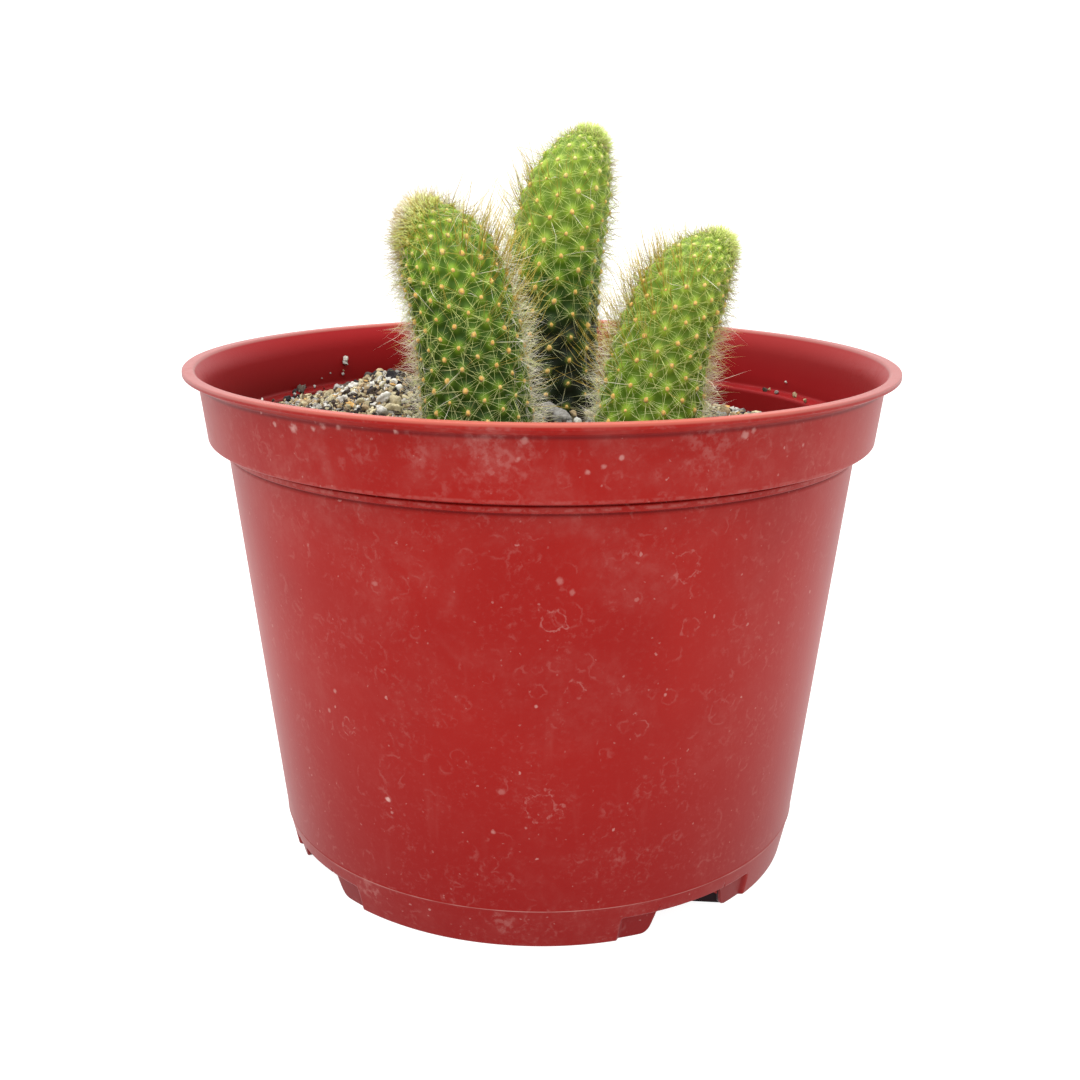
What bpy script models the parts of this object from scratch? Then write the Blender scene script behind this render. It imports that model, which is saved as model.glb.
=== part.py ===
"""Potted foxtail cactus: three short spiny stems in gritty soil, in a red nursery pot.

Metres, +Z up. The origin is the middle of the pot's base, on the surface it stands on. The side that
faces -Y is the front.
"""
import math

import bmesh
import bpy
import numpy as np
from mathutils import Vector, noise

MM = 0.001
GAP = 0.3 * MM
SIDES = 56

# Pot, a 6 inch azalea pot: outside diameter at the lip and height over the feet
RIM_DIAMETER = 152.0 * MM
POT_HEIGHT = 109.2 * MM
WALL = 1.2 * MM
LIP_DROP = 1.9 * MM
COLLAR_TOP_RADIUS = 72.9 * MM
COLLAR_BOTTOM_RADIUS = 71.5 * MM
COLLAR_DEPTH = 14.7 * MM
COLLAR_EASE = 0.8 * MM
BODY_TOP_RADIUS = 67.9 * MM
BEAD_DROP = 17.0 * MM
BEAD_HEIGHT = 0.8 * MM
BEAD_PROUD = 0.55 * MM
SEAM_HEIGHT = 9.0 * MM
SEAM_RADIUS = 58.7 * MM
FOOT_RADIUS = 56.85 * MM
FOOT_EASE = 0.45 * MM
FLOOR_UNDERSIDE = 3.2 * MM
FLOOR_TOP = 4.5 * MM

# Feet: four outer faces, and between them a window with a recessed panel on each side of it
FEET = 4
FOOT_BEARING = math.radians(-12.0)
FOOT_HALF_ANGLE = math.radians(28.3)
PANEL_ANGLE = math.radians(8.3)
PANEL_RECESS = 0.8 * MM
WINDOW_TOP = 5.7 * MM
WINDOW_DEPTH = 6.0 * MM
RECESS_SLANT = math.radians(0.4)
WINDOW_SLANT = math.radians(2.2)
FOOT_RING_RADIUS = FOOT_RADIUS - PANEL_RECESS - WALL

# Soil
SOIL_LEVEL = 93.2 * MM
SOIL_TILT = 0.03
MOUND_CENTRE = (-33.0 * MM, 14.0 * MM)
MOUND_HEIGHT = 10.5 * MM
MOUND_SPREAD = 12.0 * MM
SOIL_EDGE_DROP = 2.2 * MM
SOIL_EDGE_START = 54.0 * MM
SOIL_EDGE_WIDTH = 12.0 * MM
SOIL_GRAIN = 0.9 * MM
SOIL_GRAIN_SIZE = 7.0 * MM
SOIL_BELOW_LEDGE = 0.4 * MM
SOIL_RINGS = (0.15, 0.3, 0.44, 0.57, 0.69, 0.8, 0.9)
CHIP_COUNT = 20
CHIP_SIZES = (2.2 * MM, 3.8 * MM)
CHIP_STRETCHES = (0.65, 1.0)
CHIP_FLATNESS = 0.7
CHIP_REACH = 59.0 * MM
CHIP_SPACING = 1.0 * MM
CHIP_STEM_SPACING = 1.5 * MM
CHIP_SEED = 5

# Stems
ROOT_HEIGHT = 81.0 * MM
RIBS = 18
RIB_HEIGHT = 0.45 * MM
SHAFT_RINGS = 7
DOME_RINGS = 6
AREOLE_PITCH = 4.5 * MM
AREOLE_SPACING = 2.9 * MM
RIB_TWIST = math.radians(14.0)
SPINE_WIDTH = 0.5 * MM
SPINE_ROOT = 0.9 * MM
SPINE_PLACES = (0.5, 0.74, 0.88, 1.0)
SPINE_LENGTHS = (6.2 * MM, 9.2 * MM, 7.0 * MM, 4.2 * MM)
SPINE_VARIATION = (0.85, 1.0)
SPINE_SWAY = 0.35
SPINE_RISE = (0.25, 0.8)
CROWN_PLACES = (0.45, 0.75)
SIDE_SPINE_OFFSET = 0.7 * MM
SIDE_SPINE_SHARE = 0.75
HOLE_STATIONS = (6.0 * MM, 12.0 * MM, 18.0 * MM, 30.0 * MM)
HOLE_SIDES = 24
SOIL_CLEARANCE = 1.2 * MM
SPINE_SEED = 11

# Each stem: x and y of its foot, its lean from upright at the foot and at the tip, how late it bends, its
# length, its radius at the foot, how much of that it loses by the tip, and its dome's length and fullness
STEMS = {
    "stem_left": dict(
        foot=(-12.5 * MM, -12.0 * MM), lean_foot=-2.5, lean_tip=-78.0, bend=4.0, length=66.2 * MM,
        radius=11.9 * MM, taper=0.09, dome=14.9 * MM, fullness=1.05,
    ),
    "stem_middle": dict(
        foot=(2.0 * MM, 27.0 * MM), lean_foot=-0.5, lean_tip=31.0, bend=3.0, length=78.0 * MM,
        radius=12.7 * MM, taper=0.2, dome=19.1 * MM, fullness=2.0,
    ),
    "stem_right": dict(
        foot=(22.9 * MM, -6.0 * MM), lean_foot=2.0, lean_tip=56.0, bend=2.5, length=58.7 * MM,
        radius=13.0 * MM, taper=0.32, dome=16.2 * MM, fullness=1.5,
    ),
}

RED = (0.434, 0.025, 0.021)
GRIT = (0.23, 0.18, 0.13)
GREEN = (0.18, 0.28, 0.06)


def clear_scene():
    """Remove every object that the scene holds."""
    for thing in list(bpy.data.objects):
        bpy.data.objects.remove(thing, do_unlink=True)


def make_material(name, colour, roughness):
    """A Principled material of one colour."""
    material = bpy.data.materials.new(name)
    material.use_nodes = True
    shader = material.node_tree.nodes["Principled BSDF"]
    shader.inputs["Base Color"].default_value = (*colour, 1.0)
    shader.inputs["Roughness"].default_value = roughness
    shader.inputs["Metallic"].default_value = 0.0
    return material


def make_object(name, mesh_data, collection=None):
    """An object from a bmesh, with its normals turned outwards."""
    bmesh.ops.recalc_face_normals(mesh_data, faces=mesh_data.faces)
    mesh = bpy.data.meshes.new(name)
    mesh_data.to_mesh(mesh)
    mesh_data.free()
    thing = bpy.data.objects.new(name, mesh)
    (collection or bpy.context.scene.collection).objects.link(thing)
    return thing


def helper_collection(name):
    """A collection for the cutters or the repeats of one Boolean."""
    collection = bpy.data.collections.new(name)
    bpy.context.scene.collection.children.link(collection)
    return collection


def apply_boolean(target, collection, operation, solver="EXACT"):
    """Run one Boolean of a whole collection on the target, then remove the collection's objects."""
    for helper in collection.objects:
        helper.hide_render = True
        helper.display_type = "WIRE"
    boolean = target.modifiers.new(operation.lower(), "BOOLEAN")
    boolean.operation = operation
    boolean.operand_type = "COLLECTION"
    boolean.collection = collection
    boolean.solver = solver
    bpy.context.view_layer.update()
    depsgraph = bpy.context.evaluated_depsgraph_get()
    result = bpy.data.meshes.new_from_object(target.evaluated_get(depsgraph))
    target.modifiers.clear()
    target.data = result
    for helper in list(collection.objects):
        bpy.data.objects.remove(helper, do_unlink=True)
    bpy.data.collections.remove(collection)


def finish(thing, material, sharp_degrees):
    """Give a finished solid its material and smooth shading with sharp edges."""
    thing.data.materials.clear()
    thing.data.materials.append(material)
    thing.data.shade_smooth()
    thing.data.set_sharp_from_angle(angle=math.radians(sharp_degrees))


def join_rings(mesh_data, lower, upper):
    """Faces between two rings of the same number of vertices."""
    count = len(lower)
    for index in range(count):
        after = (index + 1) % count
        mesh_data.faces.new((lower[index], lower[after], upper[after], upper[index]))


def join_pole(mesh_data, ring, pole):
    """A fan of triangles from a ring to one vertex."""
    for index in range(len(ring)):
        mesh_data.faces.new((ring[index], ring[(index + 1) % len(ring)], pole))


def turned_rings(mesh_data, profile):
    """One ring of vertices round the Z axis for each (radius, height) of a profile."""
    rings = []
    for radius, height in profile:
        ring = []
        for step in range(SIDES):
            angle = 2.0 * math.pi * step / SIDES
            ring.append(mesh_data.verts.new((radius * math.cos(angle), radius * math.sin(angle), height)))
        rings.append(ring)
    return rings


def body_radius(height):
    """Outside radius of the pot's plain wall at a height, above or below the seam."""
    if height < SEAM_HEIGHT:
        return FOOT_RADIUS + (SEAM_RADIUS - FOOT_RADIUS) * height / SEAM_HEIGHT
    top = POT_HEIGHT - COLLAR_DEPTH
    return SEAM_RADIUS + (BODY_TOP_RADIUS - SEAM_RADIUS) * (height - SEAM_HEIGHT) / (top - SEAM_HEIGHT)


def pot_profile():
    """The pot's section from the middle of its underside, up the outside and down the inside."""
    collar = POT_HEIGHT - COLLAR_DEPTH
    bead = POT_HEIGHT - BEAD_DROP
    rim = RIM_DIAMETER / 2.0
    outside = [
        (FOOT_RING_RADIUS, FLOOR_UNDERSIDE),
        (FOOT_RING_RADIUS, 0.0),
        (FOOT_RADIUS - FOOT_EASE, 0.0),
        (FOOT_RADIUS, FOOT_EASE),
        (SEAM_RADIUS, SEAM_HEIGHT),
        (body_radius(bead - BEAD_HEIGHT), bead - BEAD_HEIGHT),
        (body_radius(bead) + BEAD_PROUD, bead - BEAD_HEIGHT / 2.0),
        (body_radius(bead) + BEAD_PROUD, bead + BEAD_HEIGHT / 2.0),
        (body_radius(bead + BEAD_HEIGHT), bead + BEAD_HEIGHT),
        (BODY_TOP_RADIUS, collar),
        (COLLAR_BOTTOM_RADIUS - COLLAR_EASE, collar),
        (COLLAR_BOTTOM_RADIUS, collar + COLLAR_EASE),
        (COLLAR_TOP_RADIUS, POT_HEIGHT - LIP_DROP - 0.6 * MM),
        (COLLAR_TOP_RADIUS + 0.5 * MM, POT_HEIGHT - LIP_DROP),
        (rim - 0.8 * MM, POT_HEIGHT - LIP_DROP + 0.1 * MM),
        (rim, POT_HEIGHT - 1.1 * MM),
        (rim - 0.15 * MM, POT_HEIGHT - 0.3 * MM),
        (rim - 0.7 * MM, POT_HEIGHT),
    ]
    inside = [
        (COLLAR_TOP_RADIUS + 0.4 * MM, POT_HEIGHT),
        (COLLAR_TOP_RADIUS - WALL, POT_HEIGHT - 1.2 * MM),
        (COLLAR_BOTTOM_RADIUS - WALL, collar + WALL + 0.7 * MM),
        (COLLAR_BOTTOM_RADIUS - WALL - 0.7 * MM, collar + WALL),
        (BODY_TOP_RADIUS - WALL, collar + WALL),
        (SEAM_RADIUS - WALL, SEAM_HEIGHT),
        (body_radius(WINDOW_TOP + WALL) - WALL, WINDOW_TOP + WALL),
        (FOOT_RING_RADIUS, WINDOW_TOP + WALL),
        (FOOT_RING_RADIUS, FLOOR_TOP),
    ]
    return outside + inside


def sector_cutter(name, collection, radii, bearing, half_angles, heights):
    """A curved block between two radii, whose half angle differs at its bottom and its top."""
    columns = 6
    mesh_data = bmesh.new()
    walls = []
    for radius in radii:
        for half_angle, height in zip(half_angles, heights):
            row = []
            for step in range(columns + 1):
                angle = bearing + half_angle * (2.0 * step / columns - 1.0)
                row.append(mesh_data.verts.new((radius * math.sin(angle), -radius * math.cos(angle), height)))
            walls.append(row)
    inner_low, inner_high, outer_low, outer_high = walls
    for first, second in (
        (inner_low, inner_high), (inner_high, outer_high), (outer_high, outer_low), (outer_low, inner_low),
    ):
        for step in range(columns):
            mesh_data.faces.new((first[step], first[step + 1], second[step + 1], second[step]))
    for end in (0, columns):
        mesh_data.faces.new((inner_low[end], inner_high[end], outer_high[end], outer_low[end]))
    bmesh.ops.triangulate(mesh_data, faces=mesh_data.faces)
    return make_object(name, mesh_data, collection)


def build_pot():
    """The moulded pot: a turned shell with its feet, windows and recessed panels cut."""
    mesh_data = bmesh.new()
    rings = turned_rings(mesh_data, pot_profile())
    for lower, upper in zip(rings, rings[1:]):
        join_rings(mesh_data, lower, upper)
    join_pole(mesh_data, rings[0], mesh_data.verts.new((0.0, 0.0, FLOOR_UNDERSIDE)))
    join_pole(mesh_data, rings[-1], mesh_data.verts.new((0.0, 0.0, FLOOR_TOP)))
    pot = make_object("pot", mesh_data)

    cutters = helper_collection("foot_cutters")
    below = -1.0 * MM
    beyond = FOOT_RADIUS + 4.0 * MM
    quarter = 2.0 * math.pi / FEET
    recess_half = quarter / 2.0 - FOOT_HALF_ANGLE
    window_half = recess_half - PANEL_ANGLE
    pocket_half = FOOT_HALF_ANGLE - WALL / FOOT_RADIUS
    for index in range(FEET):
        foot = FOOT_BEARING + quarter * index
        gap_middle = foot + quarter / 2.0
        sector_cutter(
            f"recess_{index}", cutters, (FOOT_RADIUS - PANEL_RECESS, beyond), gap_middle,
            (recess_half + RECESS_SLANT, recess_half), (below, WINDOW_TOP),
        )
        sector_cutter(
            f"window_{index}", cutters, (FOOT_RING_RADIUS - WINDOW_DEPTH, beyond), gap_middle,
            (window_half + WINDOW_SLANT, window_half), (below, WINDOW_TOP),
        )
        sector_cutter(
            f"pocket_{index}", cutters, (FOOT_RING_RADIUS - WALL, FOOT_RADIUS - WALL), foot,
            (pocket_half, pocket_half), (below, FLOOR_UNDERSIDE),
        )
    apply_boolean(pot, cutters, "DIFFERENCE")
    return pot


def soil_height(x, y):
    """Height of the soil at a place: a slight tilt, a mound, a fall to the wall and coarse grain."""
    away = ((x - MOUND_CENTRE[0]) ** 2 + (y - MOUND_CENTRE[1]) ** 2) / (2.0 * MOUND_SPREAD ** 2)
    edge = min(1.0, max(0.0, (math.hypot(x, y) - SOIL_EDGE_START) / SOIL_EDGE_WIDTH))
    grain = noise.noise(Vector((x, y, 0.0)) / SOIL_GRAIN_SIZE) * SOIL_GRAIN
    return SOIL_LEVEL - SOIL_TILT * x + MOUND_HEIGHT * math.exp(-away) - SOIL_EDGE_DROP * edge ** 2 + grain


def soil_wall_height(angle):
    """Height where the soil meets the pot's wall, which stays a little below the inner ledge."""
    radius = BODY_TOP_RADIUS - WALL
    height = soil_height(radius * math.cos(angle), radius * math.sin(angle))
    return min(height, POT_HEIGHT - COLLAR_DEPTH - SOIL_BELOW_LEDGE)


def build_soil(stems):
    """The soil body with its chips, and with a plain hole for each stem."""
    mesh_data = bmesh.new()
    lowest = FLOOR_TOP + GAP
    step_height = WINDOW_TOP + WALL + GAP
    side = turned_rings(mesh_data, [
        (FOOT_RING_RADIUS - GAP, lowest),
        (FOOT_RING_RADIUS - GAP, step_height),
        (body_radius(step_height) - WALL - GAP, step_height),
        (SEAM_RADIUS - WALL - GAP, SEAM_HEIGHT),
    ])
    wall_ring = []
    angles = [2.0 * math.pi * step / SIDES for step in range(SIDES)]
    for angle in angles:
        height = soil_wall_height(angle)
        radius = body_radius(height) - WALL - GAP
        wall_ring.append(mesh_data.verts.new((radius * math.cos(angle), radius * math.sin(angle), height)))
    rings = side + [wall_ring]
    for part in reversed(SOIL_RINGS):
        ring = []
        for angle, outer in zip(angles, wall_ring):
            x = outer.co.x * part
            y = outer.co.y * part
            ring.append(mesh_data.verts.new((x, y, soil_height(x, y))))
        rings.append(ring)
    for lower, upper in zip(rings, rings[1:]):
        join_rings(mesh_data, lower, upper)
    join_pole(mesh_data, rings[0], mesh_data.verts.new((0.0, 0.0, lowest)))
    join_pole(mesh_data, rings[-1], mesh_data.verts.new((0.0, 0.0, soil_height(0.0, 0.0))))
    bmesh.ops.triangulate(mesh_data, faces=mesh_data.faces)
    soil = make_object("soil", mesh_data)

    add_chips(soil, stems)
    holes = helper_collection("stem_holes")
    for stem in stems:
        stem.hole_cutter(holes)
    apply_boolean(soil, holes, "DIFFERENCE")
    return soil


def add_chips(soil, stems):
    """Angular chips of pumice and bark, half sunk in the soil and clear of the stems."""
    rng = np.random.default_rng(CHIP_SEED)
    chips = helper_collection("chips")
    placed = []
    while len(placed) < CHIP_COUNT:
        radius = CHIP_REACH * math.sqrt(rng.random())
        angle = 2.0 * math.pi * rng.random()
        size = rng.uniform(*CHIP_SIZES)
        spin = rng.uniform(0.0, math.pi)
        stretch = rng.uniform(*CHIP_STRETCHES, 3)
        x = radius * math.cos(angle)
        y = radius * math.sin(angle)
        if any(math.hypot(x - other[0], y - other[1]) < size + other[2] + CHIP_SPACING for other in placed):
            continue
        if any(stem.distance_at_soil(x, y) < size + CHIP_STEM_SPACING for stem in stems):
            continue
        placed.append((x, y, size))
        mesh_data = bmesh.new()
        bmesh.ops.create_icosphere(mesh_data, subdivisions=1, radius=size)
        for vertex in mesh_data.verts:
            wide = vertex.co.x * stretch[0]
            deep = vertex.co.y * stretch[1]
            vertex.co = Vector((
                x + wide * math.cos(spin) - deep * math.sin(spin),
                y + wide * math.sin(spin) + deep * math.cos(spin),
                soil_height(x, y) + vertex.co.z * CHIP_FLATNESS * stretch[2],
            ))
        make_object(f"chip_{len(placed)}", mesh_data, chips)
    apply_boolean(soil, chips, "UNION")


class Stem:
    """One ribbed stem that bends in the XZ plane, with its areoles and spines."""

    def __init__(self, name, foot, lean_foot, lean_tip, bend, length, radius, taper, dome, fullness):
        self.name = name
        self.length = length
        self.radius = radius
        self.taper = taper
        self.dome = dome
        self.fullness = fullness
        self.foot_y = foot[1]
        along = np.linspace(0.0, 1.0, 200)
        self.stations = along * length
        self.leans = np.radians(lean_foot + (lean_tip - lean_foot) * along ** bend)
        steps = np.diff(self.stations)
        middle = (self.leans[1:] + self.leans[:-1]) / 2.0
        self.axis_x = foot[0] + np.concatenate([[0.0], np.cumsum(np.sin(middle) * steps)])
        self.axis_z = ROOT_HEIGHT + np.concatenate([[0.0], np.cumsum(np.cos(middle) * steps)])

    def axis_point(self, station):
        """The axis and its lean from upright at a distance along the stem."""
        x = np.interp(station, self.stations, self.axis_x)
        z = np.interp(station, self.stations, self.axis_z)
        return Vector((x, self.foot_y, z)), float(np.interp(station, self.stations, self.leans))

    def radius_at(self, station):
        """The stem's radius: a slight taper, then a full dome."""
        into_dome = max(0.0, (station - self.length + self.dome) / self.dome)
        dome = math.sqrt(max(0.0, 1.0 - min(1.0, into_dome) ** self.fullness))
        return self.radius * (1.0 - self.taper * station / self.length) * dome

    def surface(self, station, angle, radius):
        """A point at an angle round the axis, where angle 0 looks along +X."""
        centre, lean = self.axis_point(station)
        side = Vector((math.cos(lean), 0.0, -math.sin(lean)))
        return centre + side * (radius * math.cos(angle)) + Vector((0.0, radius * math.sin(angle), 0.0))

    def distance_at_soil(self, x, y):
        """How far a place on the soil lies from this stem's side."""
        centre, _ = self.axis_point((soil_height(x, y) - ROOT_HEIGHT))
        return math.hypot(x - centre.x, y - centre.y) - self.radius

    def ring_stations(self):
        """Where the body's rings lie: wide apart on the shaft, closer on the dome."""
        shaft_length = self.length - self.dome
        shaft = [shaft_length * step / SHAFT_RINGS for step in range(SHAFT_RINGS)]
        turns = [math.pi / 2.0 * step / DOME_RINGS for step in range(DOME_RINGS)]
        dome = [shaft_length + self.dome * math.sin(turn) for turn in turns]
        return shaft + dome

    def rib_angle(self, rib, station):
        """Where a rib lies round the stem, with its slight twist."""
        return 2.0 * math.pi * rib / RIBS + RIB_TWIST * station / self.length

    def build_body(self):
        """The ribbed body: a crest and a valley for each rib on every ring."""
        mesh_data = bmesh.new()
        rings = []
        for station in self.ring_stations():
            radius = self.radius_at(station)
            relief = RIB_HEIGHT * radius / self.radius
            ring = []
            for half_rib in range(2 * RIBS):
                height = relief if half_rib % 2 == 0 else -relief
                point = self.surface(station, self.rib_angle(half_rib / 2.0, station), radius + height)
                ring.append(mesh_data.verts.new(point))
            rings.append(ring)
        for lower, upper in zip(rings, rings[1:]):
            join_rings(mesh_data, lower, upper)
        join_pole(mesh_data, rings[0], mesh_data.verts.new(self.axis_point(0.0)[0]))
        join_pole(mesh_data, rings[-1], mesh_data.verts.new(self.axis_point(self.length)[0]))
        bmesh.ops.triangulate(mesh_data, faces=mesh_data.faces)
        return make_object(self.name, mesh_data)

    def areoles(self):
        """Station and angle of every areole, half a pitch out of step on neighbouring ribs."""
        places = []
        for rib in range(RIBS):
            station = AREOLE_PITCH * (0.6 + 0.5 * (rib % 2))
            while station < self.length - 0.8 * MM:
                between_ribs = 2.0 * math.pi * max(self.radius_at(station), 0.1 * MM) / RIBS
                keep_every = 1
                while between_ribs * keep_every < AREOLE_SPACING and keep_every < RIBS:
                    keep_every *= 2
                if rib % keep_every == 0:
                    places.append((station, self.rib_angle(rib, station)))
                slope = (self.radius_at(station) - self.radius_at(station + 0.5 * MM)) / (0.5 * MM)
                station += AREOLE_PITCH / math.hypot(1.0, min(slope, 3.0))
        return places

    def spines(self):
        """Root, direction and length of every spine, each kept clear of the soil."""
        rng = np.random.default_rng(SPINE_SEED)
        found = []
        for number, (station, angle) in enumerate(self.areoles()):
            radius = self.radius_at(station)
            here = self.surface(station, angle, radius)
            if here.z < soil_height(here.x, here.y) + SOIL_CLEARANCE:
                continue
            ahead = self.surface(station + 0.2 * MM, angle, self.radius_at(station + 0.2 * MM))
            aside = self.surface(station, angle + 0.02, radius)
            upward = (ahead - here).normalized()
            sideways = (aside - here).normalized()
            outward = sideways.cross(upward).normalized()
            share = station / self.length
            length = float(np.interp(share, SPINE_PLACES, SPINE_LENGTHS)) * rng.uniform(*SPINE_VARIATION)
            rise = float(np.interp(share, CROWN_PLACES, SPINE_RISE))
            sway = rng.uniform(-SPINE_SWAY, SPINE_SWAY)
            found.append((here, outward, outward + upward * rise + sideways * sway, length))
            if number % 2 == 0:
                hand = 1.0 if number % 4 == 0 else -1.0
                beside = here + sideways * (hand * SIDE_SPINE_OFFSET)
                tilt = rng.uniform(-SPINE_SWAY, SPINE_SWAY)
                spread = outward * SIDE_SPINE_SHARE + sideways * hand + upward * tilt
                found.append((beside, outward, spread, length * SIDE_SPINE_SHARE))
        return found

    def lift_clear(self, root, direction, length):
        """Turn a spine upwards until its tip and middle clear the soil."""
        direction = direction.normalized()
        for _ in range(12):
            places = [root + direction * (length * part) for part in (0.5, 1.0)]
            if all(place.z > soil_height(place.x, place.y) + SOIL_CLEARANCE for place in places):
                break
            direction = (direction + Vector((0.0, 0.0, 0.25))).normalized()
        return direction

    def build(self):
        """The whole stem: the body with every spine sunk into it and fused."""
        body = self.build_body()
        repeats = helper_collection(f"{self.name}_spines")
        for number, (here, outward, direction, length) in enumerate(self.spines()):
            direction = self.lift_clear(here, direction, length)
            root = here - outward * (SPINE_ROOT + RIB_HEIGHT)
            tip = here + direction * length
            self.add_spine(f"{self.name}_spine_{number}", repeats, root, tip)
        apply_boolean(body, repeats, "UNION")
        return body

    def add_spine(self, name, collection, root, tip):
        """A three-sided needle that ends in a point."""
        axis = (tip - root).normalized()
        across = axis.orthogonal().normalized()
        third = axis.cross(across)
        mesh_data = bmesh.new()
        corners = []
        for step in range(3):
            angle = 2.0 * math.pi * step / 3.0
            offset = across * math.cos(angle) + third * math.sin(angle)
            corners.append(mesh_data.verts.new(root + offset * (SPINE_WIDTH / math.sqrt(3.0))))
        mesh_data.faces.new(corners)
        join_pole(mesh_data, corners, mesh_data.verts.new(tip))
        make_object(name, mesh_data, collection)

    def hole_cutter(self, collection):
        """The plain round hole that this stem stands in, a gap wider than the stem."""
        outer = (self.radius + RIB_HEIGHT + GAP) / math.cos(math.pi / HOLE_SIDES)
        mesh_data = bmesh.new()
        rings = []
        for station in (-GAP, *HOLE_STATIONS):
            centre, lean = self.axis_point(max(station, 0.0))
            centre = centre + Vector((math.sin(lean), 0.0, math.cos(lean))) * min(station, 0.0)
            side = Vector((math.cos(lean), 0.0, -math.sin(lean)))
            ring = []
            for step in range(HOLE_SIDES):
                angle = 2.0 * math.pi * step / HOLE_SIDES
                offset = side * math.cos(angle) + Vector((0.0, math.sin(angle), 0.0))
                ring.append(mesh_data.verts.new(centre + offset * outer))
            rings.append(ring)
        for lower, upper in zip(rings, rings[1:]):
            join_rings(mesh_data, lower, upper)
        mesh_data.faces.new(rings[0])
        mesh_data.faces.new(rings[-1])
        bmesh.ops.triangulate(mesh_data, faces=mesh_data.faces)
        return make_object(f"{self.name}_hole", mesh_data, collection)


def main():
    """Build the pot, the soil and the three stems."""
    clear_scene()
    stems = [Stem(name, **shape) for name, shape in STEMS.items()]
    finish(build_pot(), make_material("pot", RED, 0.45), 28.0)
    finish(build_soil(stems), make_material("soil", GRIT, 0.95), 20.0)
    for stem in stems:
        finish(stem.build(), make_material(stem.name, GREEN, 0.6), 40.0)


main()
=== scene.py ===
"""The looks of a potted foxtail cactus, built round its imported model.

A thin red nursery pot, the gritty soil in it, and three short stems with their areoles and spines.
Every size is in metres, written as millimetres times MM. +Z is up, -Y is the front and +X the right.
"""
import functools
import itertools
import logging
import math
from collections.abc import Sequence
from dataclasses import dataclass
from enum import Enum

import bmesh
import bpy
import numpy as np
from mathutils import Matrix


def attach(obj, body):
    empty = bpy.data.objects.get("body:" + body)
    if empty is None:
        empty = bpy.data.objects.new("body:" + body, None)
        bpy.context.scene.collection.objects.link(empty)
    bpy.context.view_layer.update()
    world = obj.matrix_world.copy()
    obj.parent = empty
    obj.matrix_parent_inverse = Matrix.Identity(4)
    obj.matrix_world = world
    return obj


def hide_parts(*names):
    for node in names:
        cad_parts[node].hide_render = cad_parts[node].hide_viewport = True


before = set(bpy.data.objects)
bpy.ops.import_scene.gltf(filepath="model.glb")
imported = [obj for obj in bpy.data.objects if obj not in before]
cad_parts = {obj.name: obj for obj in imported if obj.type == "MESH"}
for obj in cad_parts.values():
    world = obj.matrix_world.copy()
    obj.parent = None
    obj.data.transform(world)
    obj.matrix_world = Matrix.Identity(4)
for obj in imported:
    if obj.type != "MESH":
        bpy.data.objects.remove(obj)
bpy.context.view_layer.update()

MM = 0.001
TURN = 2.0 * math.pi

Triple = tuple[float, float, float]
Colour = Triple
Inputs = dict[int | str, object]
Points = np.ndarray
Faces = np.ndarray
Rng = np.random.Generator
Socket = bpy.types.NodeSocket
Material = bpy.types.Material
Piece = bpy.types.Object

log = logging.getLogger("potted_cactus")


class Slot(Enum):
    """The record's material slots."""

    PLASTIC = "pot_plastic"
    SOIL = "soil_mix"
    FLESH = "stem_flesh"


class Blend(Enum):
    """The ways in which one colour goes over another."""

    COVER = "MIX"
    MULTIPLY = "MULTIPLY"


# Shapes in numpy


def smooth_step(values: np.ndarray | float, low: float, high: float) -> np.ndarray:
    """An eased step from 0 at low to 1 at high: 3 t squared less 2 t cubed.

    Args:
        values: the numbers to ease.
        low: where the step starts.
        high: where it ends. It may lie below low, for a step down.

    Returns:
        The eased numbers, from 0 to 1.
    """
    part = np.clip((np.asarray(values, dtype=float) - low) / (high - low), 0.0, 1.0)
    return part * part * (3.0 - 2.0 * part)


def lattice_noise(points: Points, size: float, seed: int, cells: int = 24) -> np.ndarray:
    """Smooth noise: random numbers at the corners of cubes of one size, blended with eased weights.

    Args:
        points: places, as (..., 3).
        size: the side of a cube.
        seed: the seed of the random numbers.
        cells: after how many cubes the numbers repeat.

    Returns:
        One number from -1 to 1 for each place.
    """
    table = np.random.default_rng(seed).uniform(-1.0, 1.0, (cells, cells, cells))
    scaled = points / size
    corner = np.floor(scaled).astype(int)
    part = scaled - corner
    part = part * part * (3.0 - 2.0 * part)
    total = np.zeros(points.shape[:-1])
    for step in itertools.product((0, 1), repeat=3):
        weight = np.prod(np.where(np.array(step) == 1, part, 1.0 - part), axis=-1)
        index = (corner + np.array(step)) % cells
        total += weight * table[index[..., 0], index[..., 1], index[..., 2]]
    return total


def unit(vectors: Points) -> Points:
    """Vectors of length 1 in the same directions."""
    return vectors / np.maximum(np.linalg.norm(vectors, axis=-1, keepdims=True), 1e-12)


def grid_faces(rows: int, columns: int, close_rows: bool = False) -> Faces:
    """Quads of a grid that closes round its columns.

    Args:
        rows: how many rows of vertices there are.
        columns: how many vertices a row has.
        close_rows: whether the last row also joins the first.

    Returns:
        Vertex numbers, four for each quad, in an order that turns outwards for a grid whose
        columns go round anticlockwise while its rows go up.
    """
    row = np.arange(rows if close_rows else rows - 1)[:, None]
    column = np.arange(columns)[None, :]
    above = (row + 1) % rows
    beside = (column + 1) % columns
    order = ((row, column), (row, beside), (above, beside), (above, column))
    corners = np.broadcast_arrays(*(near * columns + side for near, side in order))
    return np.stack(corners, axis=-1).reshape(-1, 4)


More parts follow.
